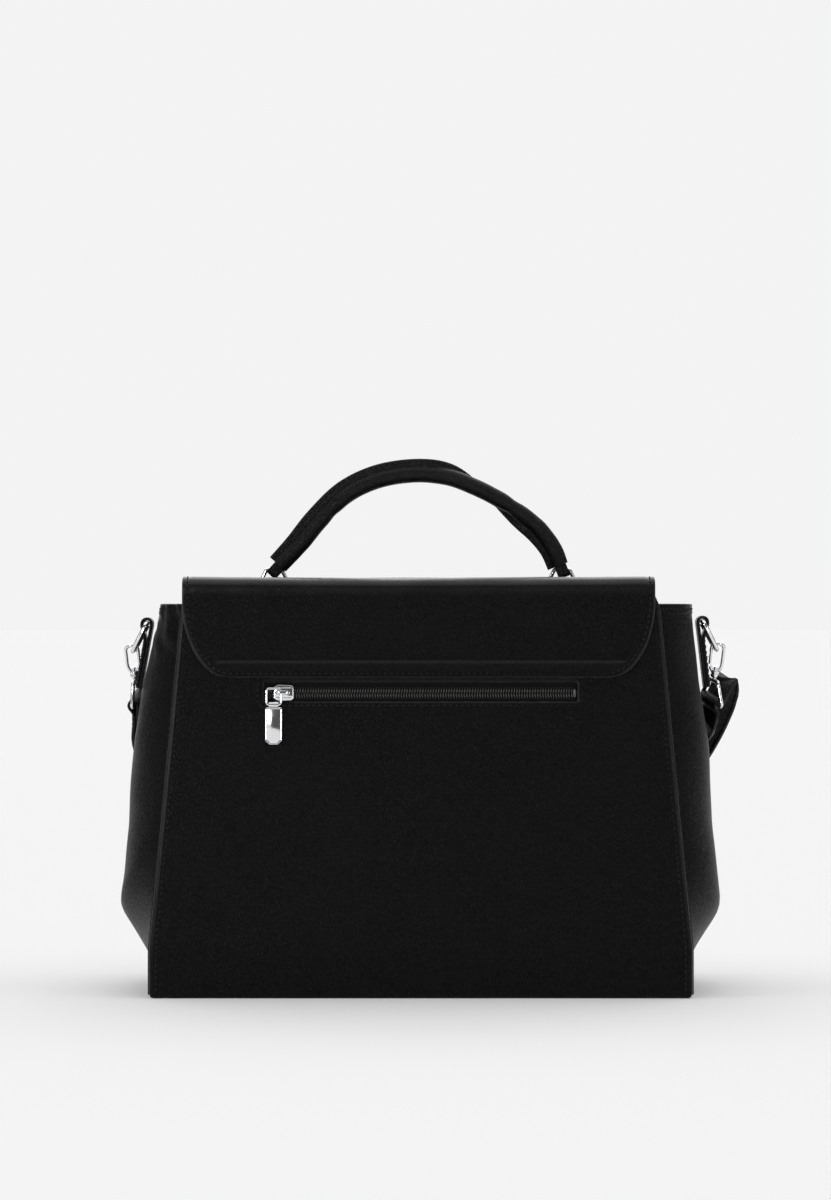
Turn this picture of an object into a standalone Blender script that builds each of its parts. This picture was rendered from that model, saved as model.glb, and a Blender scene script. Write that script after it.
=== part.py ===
"""Top-handle satchel bag: trapezoid body, fold-over flap, zip pocket on the back, clip-on shoulder strap.

The bag stands on the floor with its base centred on the origin. +Z is up, the zip side faces -Y, the
side the flap closes over faces +Y. All the sizes below are in millimetres.
"""

import math

import bmesh
import bpy
import numpy as np
from mathutils import Matrix, Vector

MM = 0.001
GAP = 0.3

# Body
BODY_HALF_WIDTH = 155.7
BODY_TAPER = 0.0905
BODY_HALF_DEPTH = 65.0
BODY_LEAN = 0.0758
BASE_BAND = 28.0
PANEL_TOP = 232.0
PANEL_THICKNESS = 2.4
PANEL_CORNER = 3.0
GUSSET_TOP = 226.0
GUSSET_THICKNESS = 1.6
GUSSET_SEAM_INSET = 4.0
GUSSET_HEIGHTS = (0.0, 22.0, 44.0, 49.0, 63.0, 94.0, 120.0, 145.0, 177.0, 204.0, 226.0)
GUSSET_REACH_RIGHT = (150.0, 159.5, 174.5, 176.0, 174.5, 171.2, 170.0, 168.8, 163.8, 160.7, 158.6)
GUSSET_REACH_LEFT = (150.0, 160.0, 173.8, 175.8, 174.0, 171.2, 169.8, 168.0, 162.7, 156.8, 151.8)
BASE_HALF_LENGTH = 148.0
BASE_THICKNESS = 2.4
BOARD_THICKNESS = 2.0

# Lining and pockets
LINING_THICKNESS = 0.8
LINING_TOP = 224.0
LINING_FLOOR = 5.1
ZIP_POCKET_ROOM = 9.5
ZIP_POCKET_DEPTH = 6.0
ZIP_POCKET_HALF_WIDTH = 95.0
ZIP_POCKET_FLOOR = 62.0
ZIP_POCKET_TOP = 164.0
ZIP_POCKET_WALL = 0.6
SLIP_HALF_WIDTH = 70.0
SLIP_FLOOR = 75.0
SLIP_TOP = 180.0
SLIP_THICKNESS = 1.0

# Zip
ZIP_HEIGHT = 174.6
WINDOW_HALF_LENGTH = 89.8
WINDOW_HALF_HEIGHT = 6.0
COIL_ROW = 2.4
COIL_SPLIT = 0.6
COIL_FRONT = 0.9
COIL_DEPTH = 2.4
TAPE_THICKNESS = 0.6
TAPE_WIDTH = 6.6
SLIDER_X = -78.7
SLIDER_LENGTH = 11.4
SLIDER_HEIGHT = 9.4
BAIL_AXIS_X = -80.2
BAIL_DEPTH = 2.6
BAIL_WIRE = 0.65
TAB_WIDTH = 9.6
TAB_LENGTH = 23.0
TAB_THICKNESS = 1.8

# Flap
FLAP_THICKNESS = 2.2
FLAP_HALF_WIDTH = 136.2
FLAP_SHIFT = -1.2
FLAP_BACK_EDGE = 183.0
FLAP_CORNER_TOP = 228.0
FLAP_CORNER_REACH = 27.0
FLAP_RIDGE = 241.7
FLAP_RIDGE_Y = 43.0
FLAP_MIDDLE = 236.4
FLAP_SPLIT = 234.0
FLAP_FRONT_EDGE = 94.0
FLAP_FRONT_CORNER = 52.0
FLAP_FRONT_REACH = 38.0

# Handle
RING_LEFT_X = -86.0
RING_RIGHT_X = 83.0
RING_FOOT = 238.6
RING_HEAD = 246.0
RING_WIRE = 1.1
HANDLE_ROLL = 4.9
HANDLE_BORE = 3.9
HANDLE_SEAM_HALF = 1.2
HANDLE_CORE = 3.3
HANDLE_PATH = (
    (-83.6, 248.7),
    (-73.9, 259.4),
    (-60.0, 276.5),
    (-44.0, 291.6),
    (-26.9, 299.9),
    (-9.8, 303.4),
    (5.0, 303.7),
    (18.0, 301.4),
    (32.0, 294.9),
    (45.0, 286.8),
    (58.0, 277.2),
    (69.5, 267.2),
    (77.2, 257.0),
    (81.0, 248.0),
)

# Shoulder strap fittings
SIDE_TAB_HALF_WIDTH = 8.6
SIDE_TAB_LAYER = 2.0
SIDE_TAB_LEG = 3.2
SIDE_RING_WIRE = 1.5
SIDE_RING_HALF = 10.5
SIDE_RING_DROP = 18.5
SIDE_RING_SWING = math.radians(27.0)
HOOK_WIRE = 1.0
HOOK_REACH = 3.6
HOOK_MIDDLE = 0.7
EYE_WIRE = 1.2
EYE_BAR = 32.0
STRAP_LOOP = 3.2
STRAP_WIDTH = 18.0
STRAP_THICKNESS = 2.6


def body_half_width(z):
    """Half width of the front and back panels at a height."""
    return BODY_HALF_WIDTH - BODY_TAPER * max(z - BASE_BAND, 0.0)


def body_half_depth(z):
    """Distance from the middle of the bag to a panel's outer face at a height."""
    return BODY_HALF_DEPTH - BODY_LEAN * max(z - BASE_BAND, 0.0)


def material(name, colour, roughness, metallic=0.0):
    """One plain surface."""
    made = bpy.data.materials.new(name)
    made.use_nodes = True
    shader = made.node_tree.nodes["Principled BSDF"]
    shader.inputs["Base Color"].default_value = (*colour, 1.0)
    shader.inputs["Roughness"].default_value = roughness
    shader.inputs["Metallic"].default_value = metallic
    return made


def add_body(name, bm, surface, matrix=None):
    """Turn a finished bmesh into a named object, its sizes in millimetres."""
    bmesh.ops.remove_doubles(bm, verts=bm.verts, dist=1e-5)
    bmesh.ops.recalc_face_normals(bm, faces=bm.faces)
    bmesh.ops.scale(bm, vec=(MM, MM, MM), verts=bm.verts)
    mesh = bpy.data.meshes.new(name)
    bm.to_mesh(mesh)
    bm.free()
    mesh.materials.append(surface)
    made = bpy.data.objects.new(name, mesh)
    bpy.context.scene.collection.objects.link(made)
    if matrix is not None:
        placed = matrix.copy()
        placed.translation *= MM
        made.matrix_world = placed
    return made


def add_sheet(name, surface, columns, rows, place, thickness, matrix=None):
    """A sheet laid over place(u, v), with u and v from -1 to 1, thickened on the side away from its face."""
    bm = bmesh.new()
    bmesh.ops.create_grid(bm, x_segments=columns, y_segments=rows, size=1.0)
    for vert in bm.verts:
        vert.co = Vector(place(vert.co.x, vert.co.y))
    mesh = bpy.data.meshes.new(name)
    bmesh.ops.scale(bm, vec=(MM, MM, MM), verts=bm.verts)
    bm.to_mesh(mesh)
    bm.free()
    mesh.materials.append(surface)
    made = bpy.data.objects.new(name, mesh)
    bpy.context.scene.collection.objects.link(made)
    solid = made.modifiers.new("Thickness", "SOLIDIFY")
    solid.thickness = thickness * MM
    solid.offset = -1.0
    solid.use_even_offset = True
    if matrix is not None:
        placed = matrix.copy()
        placed.translation *= MM
        made.matrix_world = placed
    return made


def cut(target, tool, operation="DIFFERENCE"):
    """Cut a tool out of a body, or join it on, and hide the tool."""
    tool.hide_render = True
    tool.display_type = "WIRE"
    step = target.modifiers.new("Cut", "BOOLEAN")
    step.operation = operation
    step.solver = "EXACT"
    step.object = tool


def box(bm, low, high):
    """A box between two corners."""
    middle = [(a + b) / 2 for a, b in zip(low, high)]
    size = [b - a for a, b in zip(low, high)]
    matrix = Matrix.Translation(middle) @ Matrix.Diagonal((*size, 1.0))
    bmesh.ops.create_cube(bm, size=1.0, matrix=matrix)


def prism(bm, outline, low, high, place):
    """An outline carried straight from low to high; place(a, b, c) turns it into a point."""
    near = [bm.verts.new(place(a, b, low)) for a, b in outline]
    far = [bm.verts.new(place(a, b, high)) for a, b in outline]
    bm.faces.new(near)
    bm.faces.new(far[::-1])
    for j in range(len(near)):
        k = (j + 1) % len(near)
        bm.faces.new((near[j], near[k], far[k], far[j]))


def rod(bm, start, end, radius, sides=12):
    """A round bar between two points."""
    start = Vector(start)
    end = Vector(end)
    along = end - start
    turn = along.to_track_quat("Z", "Y").to_matrix().to_4x4()
    matrix = Matrix.Translation((start + end) / 2) @ turn
    bmesh.ops.create_cone(
        bm,
        cap_ends=True,
        cap_tris=False,
        segments=sides,
        radius1=radius,
        radius2=radius,
        depth=along.length,
        matrix=matrix,
    )


def circle_profile(radius, sides, centre=(0.0, 0.0)):
    """Points of a circle, as (across, up) pairs."""
    points = []
    for i in range(sides):
        turn = 2 * math.pi * i / sides
        points.append((centre[0] + radius * math.cos(turn), centre[1] + radius * math.sin(turn)))
    return points


def ring_frames(path, hints, closed):
    """Position, across and up directions at each point of a path."""
    frames = []
    count = len(path)
    for i, point in enumerate(path):
        after = path[(i + 1) % count] if closed else path[min(i + 1, count - 1)]
        before = path[i - 1] if closed else path[max(i - 1, 0)]
        tangent = (Vector(after) - Vector(before)).normalized()
        hint = Vector(hints[i])
        across = (hint - hint.dot(tangent) * tangent).normalized()
        frames.append((Vector(point), across, tangent.cross(across)))
    return frames


def sweep(bm, path, hints, profiles, closed=False, bore=None):
    """Carry a profile along a path as one closed skin; bore makes it a tube with open ends."""
    frames = ring_frames(path, hints, closed)

    def rings(outlines):
        loops = []
        for (point, across, up), outline in zip(frames, outlines):
            loops.append([bm.verts.new(point + across * a + up * b) for a, b in outline])
        return loops

    def skin(loops):
        pairs = zip(loops, loops[1:] + loops[:1] if closed else loops[1:])
        for low, high in pairs:
            for j in range(len(low)):
                k = (j + 1) % len(low)
                bm.faces.new((low[j], low[k], high[k], high[j]))

    outer = rings(profiles)
    skin(outer)
    if bore is not None:
        inner = rings(bore)
        skin(inner)
        for end in (0, -1):
            for j in range(len(inner[end])):
                k = (j + 1) % len(inner[end])
                bm.faces.new((outer[end][j], outer[end][k], inner[end][k], inner[end][j]))
    elif not closed:
        bm.faces.new(outer[0])
        bm.faces.new(outer[-1])


def wire(bm, path, hint, radius, closed=True, sides=8):
    """A round wire along a path."""
    profile = circle_profile(radius, sides)
    sweep(bm, path, [hint] * len(path), [profile] * len(path), closed)


def smooth_path(points, step, lead=0.0):
    """Points every step millimetres along a smooth curve, with one more a lead's length in from each end."""
    points = np.array(points, dtype=float)
    spans = np.linalg.norm(np.diff(points[:, :3], axis=0), axis=1)[:, None]
    rates = np.diff(points, axis=0) / spans
    inner = (rates[:-1] * spans[1:] + rates[1:] * spans[:-1]) / (spans[:-1] + spans[1:])
    slopes = np.vstack([rates[:1], inner, rates[-1:]])
    dense = [points[0]]
    for i, span in enumerate(spans):
        for t in np.linspace(0.0, 1.0, 25)[1:]:
            start = (1 + 2 * t) * (1 - t) ** 2 * points[i] + t * (1 - t) ** 2 * span * slopes[i]
            finish = t**2 * (3 - 2 * t) * points[i + 1] + t**2 * (t - 1) * span * slopes[i + 1]
            dense.append(start + finish)
    dense = np.array(dense)
    lengths = np.concatenate([[0.0], np.cumsum(np.linalg.norm(np.diff(dense[:, :3], axis=0), axis=1))])
    stations = np.linspace(0.0, lengths[-1], max(2, round(lengths[-1] / step)) + 1)
    if lead > 0:
        stations = np.sort(np.append(stations, (lead, lengths[-1] - lead)))
    return np.column_stack([np.interp(stations, lengths, dense[:, k]) for k in range(dense.shape[1])])


def rounded_loop(corners, radius, steps=4):
    """A closed outline with its corners rounded, from flat (x, z) corners."""
    outline = []
    count = len(corners)
    for i in range(count):
        here = Vector(corners[i])
        before = (Vector(corners[i - 1]) - here).normalized()
        after = (Vector(corners[(i + 1) % count]) - here).normalized()
        half = before.angle(after) / 2
        reach = radius / math.tan(half)
        centre = here + (before + after).normalized() * radius / math.sin(half)
        first = here + before * reach - centre
        last = here + after * reach - centre
        for k in range(steps + 1):
            spoke = first.lerp(last, k / steps).normalized() * radius
            outline.append(centre + spoke)
    return outline


def clear_scene():
    """Start from nothing."""
    for item in list(bpy.data.objects):
        bpy.data.objects.remove(item, do_unlink=True)


def panel_point(u, v, top, sign):
    """A point of the back panel (sign -1) or the front panel (sign 1)."""
    z = (v + 1) / 2 * top
    half = body_half_width(z)
    if z < PANEL_CORNER:
        half -= PANEL_CORNER - math.sqrt(PANEL_CORNER**2 - (PANEL_CORNER - z) ** 2)
    if z > FLAP_CORNER_TOP - 4:
        half -= 0.35 * (z - FLAP_CORNER_TOP + 4)
    return (-sign * u * half, sign * body_half_depth(z), z)


def back_frame():
    """Axes on the back panel's outer face at the zip: x along it, y into the bag, z up the panel."""
    lean = math.atan(BODY_LEAN)
    place = Matrix.Translation((0.0, -body_half_depth(ZIP_HEIGHT), ZIP_HEIGHT))
    return place @ Matrix.Rotation(-lean, 4, "X")


def panel_rows(v):
    """Rows of a panel gathered at its rounded foot and where its slope starts."""
    stops = (0.0, 1.0, PANEL_CORNER, BASE_BAND, 90.0, 150.0, FLAP_CORNER_TOP - 4, PANEL_TOP)
    place = (v + 1) / 2 * (len(stops) - 1)
    z = float(np.interp(place, range(len(stops)), stops))
    return 2 * z / PANEL_TOP - 1


def build_body(leather, board):
    """Panels, gussets and base."""
    back = add_sheet(
        "back_panel", leather, 8, 7, lambda u, v: panel_point(u, panel_rows(v), PANEL_TOP, -1),
        PANEL_THICKNESS,
    )
    add_sheet(
        "front_panel", leather, 8, 7, lambda u, v: panel_point(u, panel_rows(v), PANEL_TOP, 1),
        PANEL_THICKNESS,
    )
    window = bmesh.new()
    box(
        window,
        (-WINDOW_HALF_LENGTH, -6.0, -WINDOW_HALF_HEIGHT),
        (WINDOW_HALF_LENGTH, 6.0, WINDOW_HALF_HEIGHT),
    )
    cut(back, add_body("zip_window_cutter", window, leather, back_frame()))

    for side, reach in ((-1, GUSSET_REACH_LEFT), (1, GUSSET_REACH_RIGHT)):
        name = "gusset_left" if side < 0 else "gusset_right"
        add_sheet(
            name, leather, 14, 12, lambda u, v, s=side, r=reach: gusset_point(u, v, s, r), GUSSET_THICKNESS
        )

    base = bmesh.new()
    half_depth = BODY_HALF_DEPTH - PANEL_THICKNESS - GAP
    box(base, (-BASE_HALF_LENGTH, -half_depth, 0.0), (BASE_HALF_LENGTH, half_depth, BASE_THICKNESS))
    add_body("base_panel", base, leather)
    stiffener = bmesh.new()
    low = BASE_THICKNESS + GAP
    box(
        stiffener,
        (-BASE_HALF_LENGTH + 4, -half_depth + 3, low),
        (BASE_HALF_LENGTH - 4, half_depth - 3, low + BOARD_THICKNESS),
    )
    add_body("base_board", stiffener, board)


def gusset_point(u, v, side, reach, inset=0.0):
    """A point of a gusset; u runs from the back seam to the front seam."""
    levels = (0.4, 11.0, 22.0, 34.0, 46.0, 51.0, 66.0, 94.0, 122.0, 150.0, 178.0, 204.0, GUSSET_TOP)
    heights = np.interp((v + 1) / 2 * 12, range(13), levels)
    z = float(heights)
    seam = body_half_width(z) - GUSSET_SEAM_INSET
    middle = float(np.interp(z, GUSSET_HEIGHTS, reach))
    half_depth = body_half_depth(z) - PANEL_THICKNESS - GAP
    x = seam + (middle - seam) * (1 - abs(u) ** 2.2) - inset
    return (side * x, side * u * half_depth, z)


def lining_back(z):
    """How far the lining stands off the back panel's inner face to leave room for the zip pocket."""
    return float(np.interp(z, (45.0, 60.0, 188.0, 205.0), (0.4, ZIP_POCKET_ROOM, ZIP_POCKET_ROOM, 0.4)))


def build_lining(cloth, leather):
    """Open-topped lining, the slip pocket on its front wall and the pouch behind the zip."""
    bm = bmesh.new()
    levels = (LINING_FLOOR, 22.0, 46.0, 60.0, 94.0, 145.0, 188.0, 205.0, LINING_TOP)
    rings = []
    across = 6
    for z in levels:
        back = -(body_half_depth(z) - PANEL_THICKNESS - lining_back(z))
        front = body_half_depth(z) - PANEL_THICKNESS - 0.4
        seam = body_half_width(z) - GUSSET_SEAM_INSET - GUSSET_THICKNESS - 1.4
        loop = []
        for i in range(across):
            loop.append((-seam + 2 * seam * i / across, back))
        right = float(np.interp(z, GUSSET_HEIGHTS, GUSSET_REACH_RIGHT)) - GUSSET_THICKNESS - 1.6
        left = float(np.interp(z, GUSSET_HEIGHTS, GUSSET_REACH_LEFT)) - GUSSET_THICKNESS - 1.6
        reach = body_half_depth(z) - PANEL_THICKNESS - GAP
        for i in range(across):
            y = back + (front - back) * i / across
            loop.append((seam + max(right - seam, -1.0) * 0.9 * (1 - abs(y / reach) ** 1.8), y))
        for i in range(across):
            loop.append((seam - 2 * seam * i / across, front))
        for i in range(across):
            y = front + (back - front) * i / across
            loop.append((-seam - max(left - seam, -1.0) * 0.9 * (1 - abs(y / reach) ** 1.8), y))
        rings.append([bm.verts.new((x, y, z)) for x, y in loop])
    for low, high in zip(rings, rings[1:]):
        for j in range(len(low)):
            k = (j + 1) % len(low)
            bm.faces.new((low[j], low[k], high[k], high[j]))
    bm.faces.new(rings[0][::-1])
    bmesh.ops.scale(bm, vec=(MM, MM, MM), verts=bm.verts)
    mesh = bpy.data.meshes.new("main_lining")
    bm.to_mesh(mesh)
    bm.free()
    mesh.materials.append(cloth)
    lining = bpy.data.objects.new("main_lining", mesh)
    bpy.context.scene.collection.objects.link(lining)
    wall = lining.modifiers.new("Thickness", "SOLIDIFY")
    wall.thickness = LINING_THICKNESS * MM
    wall.offset = -1.0
    wall.use_even_offset = True

    def slip(u, v):
        z = SLIP_FLOOR + (SLIP_TOP - SLIP_FLOOR) * (v + 1) / 2
        y = body_half_depth(z) - PANEL_THICKNESS - 0.4 - LINING_THICKNESS - 0.5
        return (-u * SLIP_HALF_WIDTH, y, z)

    add_sheet("slip_pocket", cloth, 2, 2, slip, SLIP_THICKNESS)

    pouch = bmesh.new()
    near = PANEL_THICKNESS + TAPE_THICKNESS + 0.5
    box(
        pouch,
        (-ZIP_POCKET_HALF_WIDTH, near, ZIP_POCKET_FLOOR - ZIP_HEIGHT),
        (ZIP_POCKET_HALF_WIDTH, near + ZIP_POCKET_DEPTH, ZIP_POCKET_TOP - ZIP_HEIGHT),
    )
    lid = max(pouch.faces, key=lambda face: face.calc_center_median().z)
    bmesh.ops.delete(pouch, geom=[lid], context="FACES_ONLY")
    pocket = add_body("zip_pocket", pouch, cloth, back_frame())
    skin = pocket.modifiers.new("Thickness", "SOLIDIFY")
    skin.thickness = ZIP_POCKET_WALL * MM
    skin.offset = -1.0
    skin.use_even_offset = True


def across_edges(bm):
    """Edges that run through the thickness of a flat plate."""
    return [e for e in bm.edges if abs(e.verts[0].co.y - e.verts[1].co.y) > 1]


def build_zip(tape, coil, metal):
    """Tapes, coil rows, stop, slider, bail and tab on the back panel."""
    frame = back_frame()
    for name, sign in (("lower", -1), ("upper", 1)):
        cloth = bmesh.new()
        inner = sign * (COIL_SPLIT + COIL_ROW + GAP)
        outer = sign * (COIL_SPLIT + COIL_ROW + GAP + TAPE_WIDTH)
        low = PANEL_THICKNESS + GAP
        box(
            cloth,
            (-WINDOW_HALF_LENGTH - 4, low, min(inner, outer)),
            (WINDOW_HALF_LENGTH + 4, low + TAPE_THICKNESS, max(inner, outer)),
        )
        add_body("zip_tape_" + name, cloth, tape, frame)
        teeth = bmesh.new()
        inner = sign * COIL_SPLIT
        outer = sign * (COIL_SPLIT + COIL_ROW)
        box(
            teeth,
            (-WINDOW_HALF_LENGTH + 0.4, COIL_FRONT, min(inner, outer)),
            (WINDOW_HALF_LENGTH - 2.5, COIL_FRONT + COIL_DEPTH, max(inner, outer)),
        )
        add_body("zip_coil_" + name, teeth, coil, frame)
    stop = bmesh.new()
    box(stop, (WINDOW_HALF_LENGTH - 2.2, COIL_FRONT, -2.6), (WINDOW_HALF_LENGTH - 0.4, COIL_FRONT + 2.0, 2.6))
    add_body("zip_end_stop", stop, metal, frame)

    left = SLIDER_X - SLIDER_LENGTH / 2
    right = SLIDER_X + SLIDER_LENGTH / 2
    half = SLIDER_HEIGHT / 2
    plate = bmesh.new()
    box(plate, (left, -1.6, -half), (right, 0.6, half))
    bmesh.ops.bevel(
        plate, geom=across_edges(plate), offset=1.6, segments=3, affect="EDGES"
    )
    slider = add_body("zip_slider", plate, metal, frame)
    rear = bmesh.new()
    box(rear, (left + 0.8, 3.7, -half + 0.4), (right - 0.8, 4.9, half - 0.4))
    cut(slider, add_body("slider_rear_tool", rear, metal, frame), "UNION")
    blade = bmesh.new()
    box(blade, (left + 1.0, 0.3, -0.3), (left + 4.4, 4.0, 0.3))
    cut(slider, add_body("slider_blade_tool", blade, metal, frame), "UNION")
    bridge = bmesh.new()
    near = left + 0.9
    far = right - 2.4
    outline = [(near, -1.2), (near, -4.2), (near + 0.6, -4.7), (far - 0.6, -4.7), (far, -4.2), (far, -1.2)]
    outline += [(far - 1.2, -1.2), (far - 1.2, -3.6), (near + 1.2, -3.6), (near + 1.2, -1.2)]
    prism(bridge, outline, -1.1, 1.1, lambda a, b, c: (a, b, c))
    cut(slider, add_body("slider_bridge_tool", bridge, metal, frame), "UNION")

    bail = bmesh.new()
    corners = ((BAIL_AXIS_X - 8.4, 2.3), (BAIL_AXIS_X, 2.3), (BAIL_AXIS_X, -6.9), (BAIL_AXIS_X - 8.4, -6.9))
    loop = [(p.x, -BAIL_DEPTH, p.y) for p in rounded_loop(corners, 1.2, 3)]
    wire(bail, loop, (0.0, 1.0, 0.0), BAIL_WIRE)
    add_body("puller_bail", bail, metal, frame)

    tab = bmesh.new()
    middle = BAIL_AXIS_X - 4.2
    foot = -6.9 - TAB_LENGTH
    half = TAB_WIDTH / 2
    near = -BAIL_DEPTH - TAB_THICKNESS / 2
    box(tab, (middle - half, near, foot), (middle + half, near + TAB_THICKNESS, -8.4))
    lower = [e for e in across_edges(tab) if all(v.co.z < foot + 1 for v in e.verts)]
    bmesh.ops.bevel(tab, geom=lower, offset=2.2, segments=1, affect="EDGES")
    tab_object = add_body("puller_tab", tab, metal, frame)
    knuckle = bmesh.new()
    rod(knuckle, (middle - 2.6, -BAIL_DEPTH, -6.9), (middle + 2.6, -BAIL_DEPTH, -6.9), 1.7, 16)
    cut(tab_object, add_body("tab_knuckle_tool", knuckle, metal, frame), "UNION")
    bore = bmesh.new()
    rod(bore, (middle - 4, -BAIL_DEPTH, -6.9), (middle + 4, -BAIL_DEPTH, -6.9), BAIL_WIRE + GAP, 12)
    cut(tab_object, add_body("tab_bore_tool", bore, metal, frame))


def flap_width(z, edge, corner_top, reach):
    """Half width of a flap end at a height, with its rounded corner."""
    if z >= corner_top:
        return FLAP_HALF_WIDTH
    drop = min((corner_top - z) / (corner_top - edge), 1.0)
    return FLAP_HALF_WIDTH - reach * (1 - math.sqrt(max(1 - drop**2, 0.0)))


def top_height(y):
    """Height of the flap's outer face over the bag's mouth."""
    return FLAP_MIDDLE + (FLAP_RIDGE - FLAP_MIDDLE) * (y / FLAP_RIDGE_Y) ** 2


def fold_outline(sign):
    """Outer line of the flap from its middle over one fold to the split, as (y, z)."""
    face = body_half_depth(FLAP_SPLIT) + GAP + FLAP_THICKNESS
    points = [(sign * y, top_height(y)) for y in (12.0, 22.0, 31.0, 38.0)]
    corner = ((42.5, 241.6), (46.2, 241.2), (49.2, 239.8), (51.2, 237.6), (face - 0.1, FLAP_SPLIT + 0.7))
    points += [(sign * y, z) for y, z in corner]
    return points


def build_flap(leather, metal, magnet):
    """The sewn back part, the top and the front drop of the flap, and the hidden snap."""

    def back(u, v):
        z = FLAP_BACK_EDGE + (FLAP_SPLIT - 1 - FLAP_BACK_EDGE) * (1 - math.cos((v + 1) / 4 * math.pi))
        half = flap_width(z, FLAP_BACK_EDGE, FLAP_CORNER_TOP, FLAP_CORNER_REACH)
        return (u * half + FLAP_SHIFT, -body_half_depth(z) - GAP - FLAP_THICKNESS, z)

    add_sheet("flap_back", leather, 8, 10, back, FLAP_THICKNESS)

    outline = fold_outline(-1)[::-1] + [(0.0, top_height(0.0))] + fold_outline(1)

    def top(u, v):
        place = (v + 1) / 2 * (len(outline) - 1)
        y = float(np.interp(place, range(len(outline)), [p[0] for p in outline]))
        z = float(np.interp(place, range(len(outline)), [p[1] for p in outline]))
        return (u * FLAP_HALF_WIDTH + FLAP_SHIFT, y, z)

    add_sheet("flap_top", leather, 6, len(outline) - 1, top, FLAP_THICKNESS)

    def front(u, v):
        z = FLAP_FRONT_EDGE + (FLAP_SPLIT - 0.6 - FLAP_FRONT_EDGE) * (1 - math.cos((v + 1) / 4 * math.pi))
        half = flap_width(z, FLAP_FRONT_EDGE, FLAP_FRONT_EDGE + FLAP_FRONT_CORNER, FLAP_FRONT_REACH)
        return (-u * half + FLAP_SHIFT, body_half_depth(z) + 2.2 + FLAP_THICKNESS, z)

    add_sheet("flap_front", leather, 8, 10, front, FLAP_THICKNESS)

    lean = math.atan(BODY_LEAN)
    height = FLAP_FRONT_EDGE + 24
    seat = Matrix.Translation((0.0, body_half_depth(height), height)) @ Matrix.Rotation(lean, 4, "X")
    socket = bmesh.new()
    rod(socket, (0.0, GAP, 0.0), (0.0, 1.0, 0.0), 9.0, 28)
    add_body("snap_socket", socket, magnet, seat)
    stud = bmesh.new()
    rod(stud, (0.0, 1.3, 0.0), (0.0, 1.9, 0.0), 8.5, 28)
    add_body("snap_stud", stud, metal, seat)


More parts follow.
